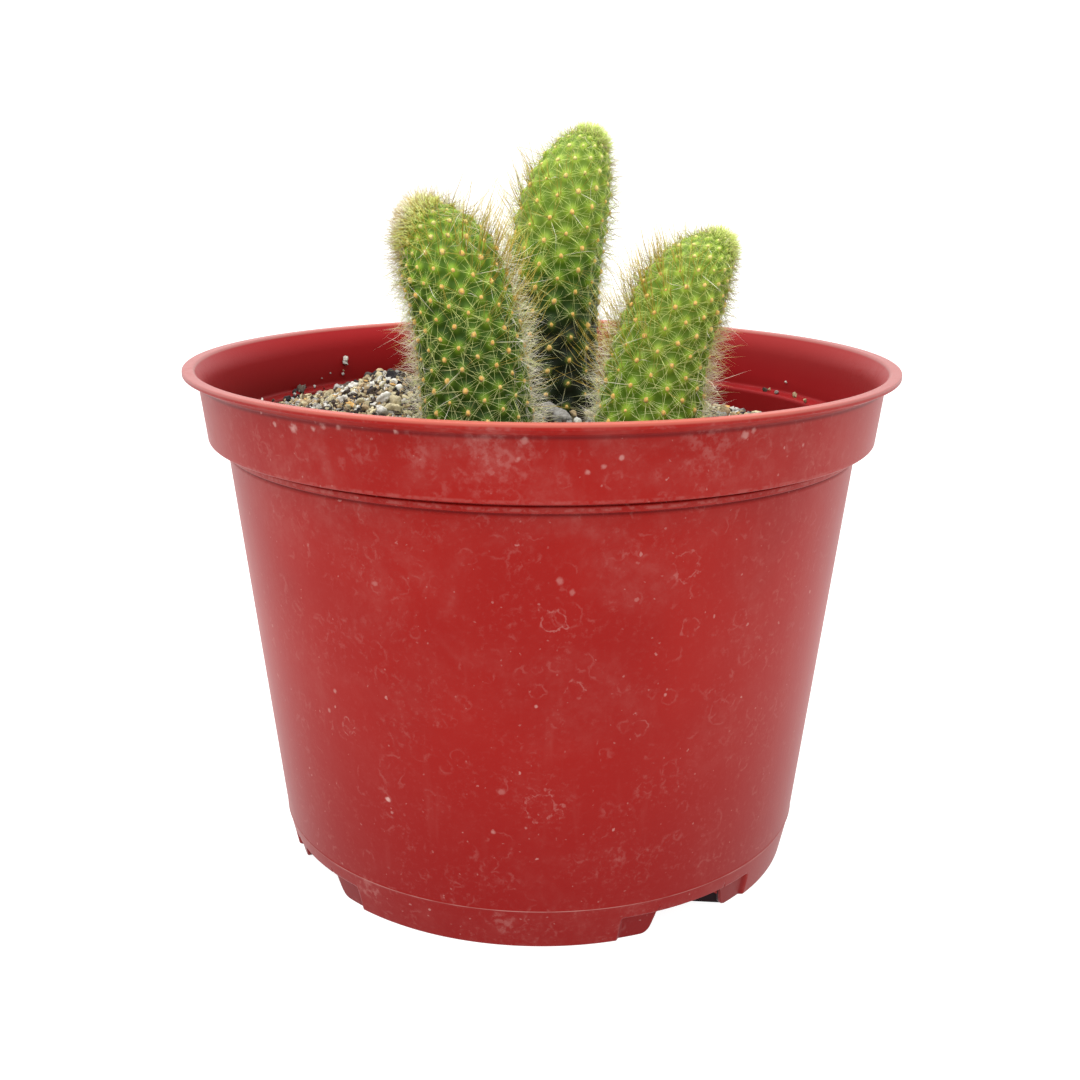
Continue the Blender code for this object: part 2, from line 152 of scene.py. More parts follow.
def fan_faces(first: int, columns: int, pole: int, above: bool) -> Faces:
    """Triangles that close a ring of vertices to one vertex.

    Args:
        first: number of the ring's first vertex.
        columns: how many vertices the ring has.
        pole: number of the vertex in the middle.
        above: whether the pole comes after the ring in the grid's order of rows.

    Returns:
        Vertex numbers, three for each triangle.
    """
    here = first + np.arange(columns)
    beside = first + (np.arange(columns) + 1) % columns
    middle = np.full(columns, pole)
    order = (here, beside, middle) if above else (beside, here, middle)
    return np.stack(order, axis=-1)


def capped_grid(rows: Points, low: Sequence[float], high: Sequence[float]) -> tuple[Points, list[Faces]]:
    """Close a grid that goes round its columns with one vertex below its first row and one past its last.

    Args:
        rows: the grid's points, as (rows, columns, 3).
        low: the vertex below.
        high: the vertex past the end.

    Returns:
        The vertices and the blocks of faces.
    """
    count, columns = rows.shape[:2]
    total = count * columns
    faces = [
        grid_faces(count, columns),
        fan_faces(0, columns, total, above=False),
        fan_faces(total - columns, columns, total + 1, above=True),
    ]
    return np.concatenate([rows.reshape(-1, 3), [low, high]]), faces


def ring_points(radius: np.ndarray, angle: np.ndarray, height: np.ndarray) -> Points:
    """Places by their distance from the Z axis, their angle from +X and their height."""
    return np.stack(np.broadcast_arrays(radius * np.cos(angle), radius * np.sin(angle), height), axis=-1)


def fillet_outline(corners: Sequence[Triple], steps: int = 4) -> np.ndarray:
    """A closed outline through corners, each rounded by an arc that touches both its sides.

    An arc's centre lies on the corner's bisector, at the arc's radius over the sine of half the
    corner's angle.

    Args:
        corners: each corner's two coordinates and the radius of its arc, or 0 to keep it sharp.
        steps: how many chords an arc has.

    Returns:
        The outline's points, as (n, 2).
    """
    spots = np.array([corner[:2] for corner in corners])
    outline = []
    for number, (_, _, radius) in enumerate(corners):
        spot = spots[number]
        if radius <= 0.0:
            outline.append(spot[None, :])
            continue
        before = unit(spots[number - 1] - spot)
        after = unit(spots[(number + 1) % len(spots)] - spot)
        half = math.acos(float(np.clip(before @ after, -1.0, 1.0))) / 2.0
        centre = spot + unit(before + after) * (radius / math.sin(half))
        reach = radius / math.tan(half)
        start = spot + before * reach - centre
        end = spot + after * reach - centre
        first = math.atan2(start[1], start[0])
        turn = (math.atan2(end[1], end[0]) - first + math.pi) % TURN - math.pi
        angles = first + turn * np.linspace(0.0, 1.0, steps + 1)
        outline.append(centre + radius * np.stack([np.cos(angles), np.sin(angles)], axis=-1))
    return np.concatenate(outline)


def add_support(outline: np.ndarray, longest: float, margin: float) -> np.ndarray:
    """Add points to an outline's long straight stretches, two of them close to the ends.

    Args:
        outline: a closed outline's points, as (n, 2).
        longest: no stretch stays longer than this.
        margin: how far from the ends the outer points lie.

    Returns:
        The outline with its added points.
    """
    filled = []
    for start, end in zip(outline, np.roll(outline, -1, axis=0)):
        length = float(np.linalg.norm(end - start))
        filled.append(start[None, :])
        if length > 4.0 * margin:
            count = max(2, math.ceil(length / longest) + 1)
            shares = np.linspace(margin / length, 1.0 - margin / length, count)[:, None]
            filled.append(start + (end - start) * shares)
    return np.concatenate(filled)


def icosphere(subdivisions: int) -> tuple[Points, Faces]:
    """A ball of radius 1 made of triangles: 20 faces for 1 subdivision, 80 for 2, 320 for 3.

    Args:
        subdivisions: how fine it is.

    Returns:
        The vertices and the faces.
    """
    ball = bmesh.new()
    bmesh.ops.create_icosphere(ball, subdivisions=subdivisions, radius=1.0)
    points = np.array([vertex.co[:] for vertex in ball.verts])
    faces = np.array([[vertex.index for vertex in face.verts] for face in ball.faces])
    ball.free()
    return points, faces


def repeat_faces(faces: Faces, count: int, vertices: int) -> Faces:
    """The faces of one shape, numbered on for each of its copies.

    Args:
        faces: the faces of the first copy.
        count: how many copies there are.
        vertices: how many vertices a copy has.

    Returns:
        The faces of every copy.
    """
    shift = (np.arange(count) * vertices)[:, None, None]
    return (faces[None, :, :] + shift).reshape(-1, faces.shape[1])


def random_turns(rng: Rng, count: int) -> np.ndarray:
    """Rotation matrices drawn evenly from all rotations, from unit quaternions.

    Args:
        rng: random numbers.
        count: how many.

    Returns:
        The matrices, as (n, 3, 3).
    """
    w, x, y, z = unit(rng.normal(size=(count, 4))).T
    rows = (
        (1 - 2 * (y * y + z * z), 2 * (x * y - z * w), 2 * (x * z + y * w)),
        (2 * (x * y + z * w), 1 - 2 * (x * x + z * z), 2 * (y * z - x * w)),
        (2 * (x * z - y * w), 2 * (y * z + x * w), 1 - 2 * (x * x + y * y)),
    )
    return np.stack([np.stack(row, axis=-1) for row in rows], axis=-2)


def make_piece(
    name: str,
    points: Points,
    faces: Sequence[Faces],
    material: Material,
    values: dict[str, np.ndarray] | None = None,
    smooth: bool = True,
) -> Piece:
    """Put arrays into a mesh and its object, which sits at the origin.

    Args:
        name: the object's name.
        points: vertices, as (n, 3).
        faces: blocks of faces, each block of one number of corners.
        material: the finish.
        values: attributes by name, as (n,) numbers or (n, 3) colours on the vertices.
        smooth: whether the faces are shaded smooth.

    Returns:
        The object.
    """
    mesh = bpy.data.meshes.new(name)
    corners = np.concatenate([block.ravel() for block in faces])
    widths = np.concatenate([np.full(len(block), block.shape[1]) for block in faces])
    starts = np.concatenate([[0], np.cumsum(widths)[:-1]])
    mesh.vertices.add(len(points))
    mesh.vertices.foreach_set("co", points.astype(np.float32).ravel())
    mesh.loops.add(len(corners))
    mesh.loops.foreach_set("vertex_index", corners.astype(np.int32))
    mesh.polygons.add(len(widths))
    mesh.polygons.foreach_set("loop_start", starts.astype(np.int32))
    mesh.polygons.foreach_set("use_smooth", np.full(len(widths), smooth))
    mesh.update(calc_edges=True)
    for key, numbers in (values or {}).items():
        if numbers.ndim == 2:
            attribute = mesh.color_attributes.new(key, "FLOAT_COLOR", "POINT")
            opaque = np.concatenate([numbers, np.ones((len(numbers), 1))], axis=-1)
            attribute.data.foreach_set("color", opaque.astype(np.float32).ravel())
        else:
            attribute = mesh.attributes.new(key, "FLOAT", "POINT")
            attribute.data.foreach_set("value", numbers.astype(np.float32))
    mesh.validate()
    mesh.materials.append(material)
    piece = bpy.data.objects.new(name, mesh)
    bpy.context.scene.collection.objects.link(piece)
    return piece


def settle(piece: Piece, node: str) -> None:
    """Tie a piece to the body, hide the CAD node that it stands for, and report it.

    Args:
        piece: the finished piece.
        node: the CAD node that it replaces.
    """
    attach(piece, "root")
    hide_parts(node)
    log.info("%s: %d vertices, %d faces", piece.name, len(piece.data.vertices), len(piece.data.polygons))


# Finishes


@dataclass(frozen=True)
class Signal:
    """One output of a material's nodes. Arithmetic on it adds a node for each step."""

    graph: "MaterialGraph"
    socket: Socket

    def __add__(self, other: object) -> "Signal":
        """The sum."""
        return self.graph.math("ADD", self, other)

    def __sub__(self, other: object) -> "Signal":
        """The difference."""
        return self.graph.math("SUBTRACT", self, other)

    def __mul__(self, other: object) -> "Signal":
        """The product."""
        return self.graph.math("MULTIPLY", self, other)

    def __truediv__(self, other: object) -> "Signal":
        """The quotient."""
        return self.graph.math("DIVIDE", self, other)

    def __abs__(self) -> "Signal":
        """The size without its sign."""
        return self.graph.math("ABSOLUTE", self)

    def remap(self, low: float, high: float, start: object = 0.0, end: object = 1.0) -> "Signal":
        """An eased change from start to end while this goes from low to high."""
        inputs = dict(enumerate((self, low, high, start, end)))
        return self.graph.node("MapRange", 0, inputs, interpolation_type="SMOOTHSTEP")


class MaterialGraph:
    """Builds one node material, a node at a time, on Object coordinates."""

    def __init__(self, name: str) -> None:
        """Start from a Principled shader and the object's own coordinates.

        Args:
            name: the material's name.
        """
        self.material = bpy.data.materials.new(name)
        self.material.use_nodes = True
        self.tree = self.material.node_tree
        self.place = self.node("TexCoord", "Object", {})

    def feed(self, socket: Socket, value: object) -> None:
        """Link a socket to a signal, or set its value.

        Args:
            socket: the input.
            value: a signal, a colour, a vector or a number.
        """
        if isinstance(value, Signal):
            self.tree.links.new(value.socket, socket)
        else:
            socket.default_value = (*value, 1.0) if socket.type == "RGBA" else value

    def node(self, kind: str, output: int | str, inputs: Inputs, **settings: str) -> Signal:
        """Add a node.

        Args:
            kind: its type, after the word ShaderNode.
            output: which of its outputs to give.
            inputs: a value for each input, by name or number.
            settings: its other settings.

        Returns:
            The output.
        """
        node = self.tree.nodes.new("ShaderNode" + kind)
        for key, setting in settings.items():
            setattr(node, key, setting)
        for key, value in inputs.items():
            self.feed(node.inputs[key], value)
        return Signal(self, node.outputs[output])

    def set(self, **values: object) -> None:
        """Feed the shader's sockets, by the names in SOCKETS."""
        for key, value in values.items():
            self.feed(self.tree.nodes["Principled BSDF"].inputs[SOCKETS[key]], value)

    def math(self, operation: str, first: object, second: object = 0.0) -> Signal:
        """One arithmetic step."""
        return self.node("Math", 0, {0: first, 1: second}, operation=operation)

    def noise(
        self,
        size: float,
        detail: float = 2.0,
        rough: float = 0.5,
        stretch: Triple = (1.0, 1.0, 1.0),
        warp: float = 0.0,
    ) -> Signal:
        """Cloudy noise about 0.5.

        Args:
            size: the size of its largest features.
            detail: how many finer layers it has.
            rough: how strong those are.
            stretch: a factor on each axis, less than 1 to draw the pattern out.
            warp: how much it is twisted.

        Returns:
            The noise.
        """
        place = self.place
        if stretch != (1.0, 1.0, 1.0):
            place = self.node("Mapping", 0, {"Vector": place, "Scale": stretch})
        inputs = {"Vector": place, "Scale": 1.0 / size, "Detail": detail, "Roughness": rough}
        inputs["Distortion"] = warp
        return self.node("TexNoise", "Fac", inputs)

    def cells(self, size: float, warp: float) -> tuple[Signal, Signal]:
        """Scattered points: the distance to the nearest one, in its own size, and a random number for it.

        Args:
            size: how far apart the points lie.
            warp: how far noise bends the distances, as a share of the size.

        Returns:
            The distance and the random number.
        """
        distance = self.node("TexVoronoi", "Distance", {"Scale": 1.0 / size, "Vector": self.place})
        colour = Signal(self, distance.socket.node.outputs["Color"])
        own = self.node("SeparateColor", 0, {0: colour})
        return distance + self.noise(size * 0.25, 3.0).remap(0.3, 0.7, -warp, warp), own

    def away_from(self, centre: Triple) -> Signal:
        """The distance from one place."""
        return self.node("VectorMath", "Value", {0: self.place, 1: centre}, operation="DISTANCE")

    def axis(self, name: str) -> Signal:
        """One coordinate: X, Y or Z."""
        return self.node("SeparateXYZ", name, {0: self.place})

    def attribute(self, name: str, output: str = "Fac") -> Signal:
        """A number that the mesh carries, or a colour, whose output is Color."""
        return self.node("Attribute", output, {}, attribute_name=name)

    def ramp(self, value: Signal, stops: Sequence[tuple[float, Colour]]) -> Signal:
        """Colours along a value.

        Args:
            value: a number from 0 to 1.
            stops: places on it and their colours.

        Returns:
            The colour.
        """
        ramp = self.node("ValToRGB", "Color", {0: value})
        elements = ramp.socket.node.color_ramp.elements
        while len(elements) < len(stops):
            elements.new(1.0)
        for element, (place, colour) in zip(elements, stops):
            element.position = place
            element.color = (*colour, 1.0)
        return ramp

    def mix(self, share: object, under: object, over: object, blend: Blend = Blend.COVER) -> Signal:
        """A share of the upper colour over the lower."""
        inputs = {0: share, 6: under, 7: over}
        return self.node("Mix", 2, inputs, data_type="RGBA", blend_type=blend.value)

    def bump(self, height: Signal, depth: float, strength: float = 1.0) -> Signal:
        """A normal from a height, where height 1 stands that depth proud."""
        return self.node("Bump", "Normal", {"Strength": strength, "Distance": depth, "Height": height})


SOCKETS = {
    "colour": "Base Color", "roughness": "Roughness", "normal": "Normal", "specular": "Specular IOR Level",
    "sheen": "Sheen Weight", "sheen_roughness": "Sheen Roughness", "sheen_tint": "Sheen Tint",
    "glow": "Subsurface Weight", "glow_radius": "Subsurface Radius", "glow_scale": "Subsurface Scale",
    "light": "Emission Color", "light_strength": "Emission Strength",
}


class MarkKind(Enum):
    """What a mark on the pot's wall looks like."""

    RING = "the thin edge of a dried drop"
    SMEAR = "a soft cloud of chalk"
    FLECK = "a small spot of chalk"


# marks on the wall: each one's angle from the front in degrees, height and radius in mm, and strength
WALL_MARKS = {
    MarkKind.RING: (
        (2.3, 71.7, 2.2, 0.24), (-36.7, 44.4, 1.9, 0.26), (0.6, 33.0, 3.2, 0.2), (5.7, 57.7, 1.7, 0.18),
        (23.3, 80.4, 2.6, 0.18), (17.3, 48.8, 1.5, 0.14), (24.9, 68.2, 1.8, 0.14),
    ),
    MarkKind.SMEAR: (
        (-6.6, 104.1, 7.0, 0.17), (23.8, 104.6, 5.5, 0.14), (-26.0, 101.8, 2.4, 0.10),
        (-16.7, 102.6, 3.2, 0.12), (-36.4, 6.5, 3.2, 0.2), (-6.5, 5.8, 3.6, 0.16),
    ),
    MarkKind.FLECK: (
        (-41.2, 104.8, 0.5, 0.6), (-37.2, 104.7, 0.95, 0.75), (-33.3, 105.3, 0.55, 0.6),
        (-31.5, 105.8, 0.65, 0.45), (-28.8, 106.2, 0.6, 0.45), (-19.9, 106.4, 0.5, 0.6),
        (29.0, 105.2, 0.8, 0.5), (30.2, 106.0, 0.6, 0.4), (-2.3, 106.0, 0.7, 0.4), (-3.1, 102.6, 0.6, 0.4),
        (6.2, 100.4, 0.5, 0.4), (8.3, 101.2, 0.5, 0.36), (10.7, 102.7, 0.4, 0.5), (40.5, 101.7, 0.5, 0.5),
        (2.8, 79.4, 0.7, 0.28), (4.9, 77.1, 0.55, 0.25), (-29.0, 30.3, 0.5, 0.85), (-28.4, 27.5, 0.4, 0.4),
        (-39.0, 51.3, 0.45, 0.4), (-41.4, 46.4, 0.4, 0.35), (-6.8, 36.0, 0.7, 0.22), (-27.3, 76.2, 0.5, 0.25),
        (-0.6, 54.4, 0.35, 0.5), (21.5, 55.1, 0.35, 0.45), (-8.4, 26.9, 0.4, 0.4), (-2.4, 28.2, 0.4, 0.45),
    ),
}


@dataclass(frozen=True)
class PotPlastic:
    """Moulded red plastic: satin, with dust, chalk flecks, dried drops, faint runs, a worn seam, painted
    shade and a painted lip highlight.
    """

    pot: "Pot"
    red: Colour = (0.262, 0.0070, 0.0042)
    deep_red: Colour = (0.185, 0.0025, 0.0022)
    # inside: the first red is painted light higher up and at the right, the second painted shade low down
    inner_red: Colour = (0.262, 0.0070, 0.0090)
    inner_shade: Colour = (0.125, 0.0022, 0.0020)
    # painted highlight on the lip's top, and a painted reflection on it towards the sides
    lip_highlight: Colour = (0.39, 0.085, 0.060)
    lip_side_reflection: Colour = (0.29, 0.100, 0.095)
    dust: Colour = (0.34, 0.115, 0.10)
    chalk: Colour = (0.50, 0.28, 0.25)
    # painted shade in the corners and the recessed panels
    painted_shade: Colour = (0.085, 0.0015, 0.0030)
    # painted shade, near black, under the pot: below the floor's top and on the webs
    under_shade: Colour = (0.006, 0.003, 0.005)
    sheen: Colour = (1.0, 0.8, 0.76)
    # how dusty the wall is at shares of its height
    dust_levels: tuple[tuple[float, float], ...] = (
        (0.0, 0.16), (0.08, 0.12), (0.1, 0.06), (0.6, 0.12), (0.86, 0.26), (1.0, 0.40),
    )

    def dust_share(self, graph: MaterialGraph) -> Signal:
        """How dusty the wall is: most at the collar and the feet, in clouds, mottle and faint runs.

        Args:
            graph: the material under way.

        Returns:
            The share.
        """
        levels = [(place, (level, level, level)) for place, level in self.dust_levels]
        band = graph.ramp(graph.axis("Z") / self.pot.height, levels)
        clouds = graph.noise(17.0 * MM, 7.0, 0.62, warp=0.6).remap(0.4, 0.75)
        mottle = graph.noise(2.6 * MM, 5.0, 0.65).remap(0.35, 0.75)
        spots = graph.noise(1.1 * MM, 4.0, 0.7).remap(0.5, 0.76, 0.0, 0.26)
        patches = graph.noise(11.0 * MM, 4.0, 0.6).remap(0.42, 0.62, 0.25, 1.0)
        runs = graph.noise(4.0 * MM, 3.0, 0.6, stretch=(1.0, 1.0, 0.06)).remap(0.58, 0.8, 0.0, 0.08)
        right = graph.axis("X").remap(5.0 * MM, 60.0 * MM, 0.0, 0.05)
        return clouds * band * (mottle + 0.3) + right + runs + spots * patches

    def mark_share(self, graph: MaterialGraph) -> Signal:
        """How much chalk lies on the wall: flecks, the broken edges of dried drops, and the placed marks.

        Args:
            graph: the material under way.

        Returns:
            The share.
        """
        distance, pick = graph.cells(3.6 * MM, 0.08)
        layers = [distance.remap(0.08, 0.03) * pick.remap(0.6, 0.95, 0.0, 0.42)]
        distance, pick = graph.cells(1.7 * MM, 0.1)
        layers.append(distance.remap(0.13, 0.04) * pick.remap(0.6, 0.9, 0.0, 0.26))
        # a dried drop is a thin ring about a scattered point, of a radius of its own
        for size, chance, strength in ((7.0 * MM, 0.4, 0.085), (4.2 * MM, 0.45, 0.08)):
            away, own = graph.cells(size, 0.07)
            off = abs(away - own.remap(0.0, 1.0, 0.12, 0.42))
            edge = off.remap(0.36 * MM / size, 0.05 * MM / size, 0.0, strength)
            broken = graph.noise(size * 0.5, 3.0, 0.6).remap(0.45, 0.64)
            layers.append(edge * broken * own.remap(chance, chance + 0.1))
        wave = graph.noise(2.4 * MM, 3.0, 0.6)
        broken = graph.noise(1.5 * MM, 3.0, 0.6).remap(0.4, 0.62)
        for kind, marks in WALL_MARKS.items():
            for angle, height, radius, strength in marks:
                radius = radius * MM
                reach = (0.3 if kind is MarkKind.RING else 0.5) * radius
                away = graph.away_from(self.pot.wall_place(angle, height * MM))
                away = away + wave.remap(0.3, 0.7, -reach, reach)
                if kind is MarkKind.RING:
                    share = abs(away - radius).remap(0.36 * MM, 0.06 * MM, 0.0, strength)
                else:
                    share = away.remap(1.3 * radius, 0.2 * radius, 0.0, strength)
                layers.append(share if kind is MarkKind.FLECK else share * broken)
        worn = graph.noise(6.0 * MM, 3.0).remap(0.3, 0.65, 0.2, 0.5)
        layers.append(abs(graph.axis("Z") - self.pot.seam_height).remap(0.14 * MM, 0.04 * MM) * worn)
        # the collar's lower edge and the bead are paler in broken lines: scuffs, with a painted highlight on
        # these rounded edges
        for drop, share in ((self.pot.collar_depth - 0.4 * MM, 0.10), (self.pot.bead_drop, 0.16)):
            off = abs(graph.axis("Z") - (self.pot.height - drop))
            layers.append(off.remap(0.5 * MM, 0.1 * MM, 0.0, share) * broken)
        return functools.reduce(lambda under, over: graph.math("MAXIMUM", under, over), layers)

    def corner_shade_share(self, graph: MaterialGraph) -> Signal:
        """How much painted shade darkens the corners: a soft band under the lip, one over the bead and one
        under it.

        Args:
            graph: the material under way.

        Returns:
            The share.
        """
        bead = self.pot.height - self.pot.bead_drop
        bands = (
            (self.pot.height - 2.75 * MM, 0.75 * MM, 0.62),
            (bead + 0.95 * MM, 0.45 * MM, 0.7),
            (bead - 0.95 * MM, 0.5 * MM, 0.6),
        )
        total = 0.0
        for height, reach, strength in bands:
            band = abs(graph.axis("Z") - height).remap(reach, 0.1 * reach, 0.0, strength)
            total = graph.math("MAXIMUM", total, band)
        return total

    def inner_colour(self, graph: MaterialGraph) -> Signal:
        """The inside's red: painted shade deep low down and near black at the floor, painted light at the
        right and the top, powdery there.

        Args:
            graph: the material under way.

        Returns:
            The colour.
        """
        height = graph.axis("Z")
        right = graph.axis("X").remap(15.0 * MM, 65.0 * MM)
        # painted light: brighter towards the top and the right; painted shade low down
        rise = height.remap(94.0 * MM, 107.0 * MM) + right * 0.7
        powder = (right * 0.10 + 0.01) * height.remap(99.0 * MM, self.pot.height)
        inner = graph.mix(powder, graph.mix(rise, self.inner_shade, self.inner_red), self.dust)
        # painted shade under the pot: near black below the floor's top
        return graph.mix(height.remap(6.5 * MM, 4.5 * MM, 0.0, 0.95), inner, self.under_shade)

    def material(self) -> Material:
        """Layer dust, painted shade and marks over two reds, keep them off the inside, and paint a highlight
        on the lip.

        Returns:
            The material.
        """
        graph = MaterialGraph("red_plastic")
        height = graph.axis("Z")
        tone = graph.noise(40.0 * MM, 3.0).remap(0.35, 0.65, 0.0, 0.35)
        # random deeper tone, and painted shade that darkens the wall towards the bottom
        deep_tone_and_shade = graph.math("MAXIMUM", tone, height.remap(70.0 * MM, -10.0 * MM, 0.0, 0.9))
        dust = self.dust_share(graph)
        marks = self.mark_share(graph)
        sunk = graph.attribute("sunk")
        dusty = dust * sunk.remap(0.0, 1.0, 1.0, 0.35)
        colour = graph.mix(dusty, graph.mix(deep_tone_and_shade, self.red, self.deep_red), self.dust)
        # painted shade in the corners under the lip and by the bead
        colour = graph.mix(self.corner_shade_share(graph), colour, self.painted_shade)
        # painted shade in the recessed panels
        colour = graph.mix(sunk.remap(0.0, 1.0, 0.0, 0.32), colour, self.painted_shade)
        colour = graph.mix(marks, colour, self.chalk)
        outside = graph.attribute("inside").remap(0.7, 0.3)
        colour = graph.mix(outside, self.inner_colour(graph), colour)
        # painted highlight on the lip's top, paler towards the sides as a painted reflection
        aside = abs(graph.axis("X")).remap(25.0 * MM, 72.0 * MM, 0.0, 0.9)
        lip = height.remap(self.pot.height - 0.7 * MM, self.pot.height - 0.3 * MM)
        colour = graph.mix(lip, colour, graph.mix(aside, self.lip_highlight, self.lip_side_reflection))
        scratch = graph.noise(2.0 * MM, 4.0, 0.7, stretch=(1.0, 1.0, 0.15))
        relief = graph.noise(0.7 * MM, 3.0, 0.6) * 0.5 + scratch * 0.5
        graph.set(
            colour=colour, roughness=(dust + marks).remap(0.0, 0.8, 0.38, 0.72), specular=0.10,
            normal=graph.bump(relief, 0.06 * MM, 0.5),
            sheen=0.03, sheen_roughness=0.35, sheen_tint=self.sheen,
        )
        return graph.material


@dataclass(frozen=True)
class DarkSoil:
    """The fine dark stuff between the grains."""

    damp: Colour = (0.022, 0.015, 0.010)
    dry: Colour = (0.085, 0.060, 0.040)

    def material(self) -> Material:
        """Two browns in crumbs.

        Returns:
            The material.
        """
        graph = MaterialGraph("dark_soil")
        crumbs = graph.noise(1.2 * MM, 5.0, 0.7)
        colour = graph.ramp(crumbs, [(0.35, self.damp), (0.65, self.dry)])
        graph.set(colour=colour, roughness=0.95, specular=0.15, normal=graph.bump(crumbs, 0.5 * MM))
        return graph.material


@dataclass(frozen=True)
class MineralGrain:
    """Grit and bark: each grain's own colour, with pits and darker specks."""

    dirt: Colour = (0.10, 0.07, 0.045)

    def material(self) -> Material:
        """The mesh's colour under specks and a little dirt.

        Returns:
            The material.
        """
        graph = MaterialGraph("mineral_grain")
        speck = graph.noise(0.5 * MM, 4.0, 0.7)
        shade = graph.ramp(speck, [(0.3, (0.55, 0.53, 0.5)), (0.6, (1.0, 1.0, 1.0))])
        colour = graph.mix(1.0, graph.attribute("tint", "Color"), shade, Blend.MULTIPLY)
        colour = graph.mix(graph.noise(3.0 * MM, 4.0).remap(0.42, 0.75, 0.0, 0.5), colour, self.dirt)
        graph.set(colour=colour, roughness=0.88, specular=0.3, normal=graph.bump(speck, 0.25 * MM, 0.8))
        return graph.material


@dataclass(frozen=True)
class CactusSkin:
    """Green skin: pale on the tubercles and near the tip, with painted shade in the channels and low on a
    shaded stem, tinted by each areole.
    """

    # the darkest green is mostly painted shade, low on a shaded stem
    dark_green: Colour = (0.014, 0.024, 0.010)
    old_green: Colour = (0.085, 0.170, 0.010)
    green: Colour = (0.200, 0.345, 0.020)
    young_green: Colour = (0.290, 0.410, 0.040)
    # painted shade in the channels between the tubercles
    channel_shade: Colour = (0.20, 0.30, 0.16)
    pale: Colour = (0.32, 0.42, 0.06)

    def material(self) -> Material:
        """Greens by age and by height on the tubercle.

        Returns:
            The material.
        """
        graph = MaterialGraph("cactus_skin")
        age = graph.attribute("age")
        crest = graph.attribute("crest")
        colour = graph.ramp(
            age + graph.noise(6.0 * MM, 3.0).remap(0.3, 0.7, -0.12, 0.12),
            [(0.05, self.dark_green), (0.35, self.old_green), (0.62, self.green), (0.95, self.young_green)],
        )
        # painted shade in the channels, weaker near the tip
        channel_shade = crest.remap(0.75, 0.05, 0.0, 0.9) * age.remap(0.55, 0.95, 1.0, 0.8)
        colour = graph.mix(channel_shade, colour, self.channel_shade, Blend.MULTIPLY)
        colour = graph.mix(crest.remap(0.6, 1.0, 0.0, 0.4), colour, self.pale)
        pores = graph.noise(0.35 * MM, 3.0, 0.6)
        graph.set(
            colour=colour, roughness=pores.remap(0.3, 0.7, 0.42, 0.6),
            normal=graph.bump(pores, 0.06 * MM, 0.5),
            specular=0.2, glow=0.12, glow_radius=(0.6, 1.0, 0.25), glow_scale=1.2 * MM,
        )
        return graph.material


@dataclass(frozen=True)
class AreoleWool:
    """The short orange wool of the areoles."""

    orange: Colour = (0.70, 0.35, 0.05)
    straw: Colour = (0.88, 0.64, 0.22)
    young: Colour = (0.62, 0.66, 0.24)

    def material(self) -> Material:
        """Orange wool with straw-coloured strands, pale green on the youngest areoles.

        Returns:
            The material.
        """
        graph = MaterialGraph("areole_wool")
        strands = graph.noise(0.3 * MM, 3.0, 0.7)
        colour = graph.ramp(strands, [(0.35, self.orange), (0.68, self.straw)])
        colour = graph.mix(graph.attribute("age").remap(0.74, 0.97, 0.0, 0.8), colour, self.young)
        graph.set(
            colour=colour, roughness=0.95, specular=0.1, sheen=0.3, sheen_roughness=0.5,
            normal=graph.bump(strands, 0.15 * MM),
        )
        return graph.material


@dataclass(frozen=True)
class Bristle:
    """Fine spines: beige at the old foot of a stem, cream higher up and yellow-green near its tip."""

    felt: Colour = (0.46, 0.36, 0.19)
    beige: Colour = (1.0, 0.94, 0.81)
    cream: Colour = (0.84, 0.86, 0.42)
    straw: Colour = (0.78, 0.86, 0.28)
    lime: Colour = (0.66, 0.79, 0.22)
    gold: Colour = (0.48, 0.34, 0.04)
    tan: Colour = (0.42, 0.33, 0.17)

    def material(self) -> Material:
        """Colours by age, warmed at the root and by each spine's own tone.

        Returns:
            The material.
        """
        graph = MaterialGraph("bristle")
        tone = graph.attribute("tone")
        colour = graph.ramp(
            graph.attribute("age"),
            [(0.0, self.felt), (0.1, self.beige), (0.25, self.cream), (0.65, self.straw), (0.95, self.lime)],
        )
        colour = graph.mix(tone.remap(0.86, 0.96), colour, self.gold)
        colour = graph.mix(tone.remap(0.15, 0.0, 0.0, 0.6), colour, self.tan)
        colour = graph.mix(graph.attribute("along").remap(0.15, 0.0, 0.0, 0.5), colour, self.gold)
        graph.set(colour=colour, roughness=0.5, specular=0.35)
        return graph.material


# The pot


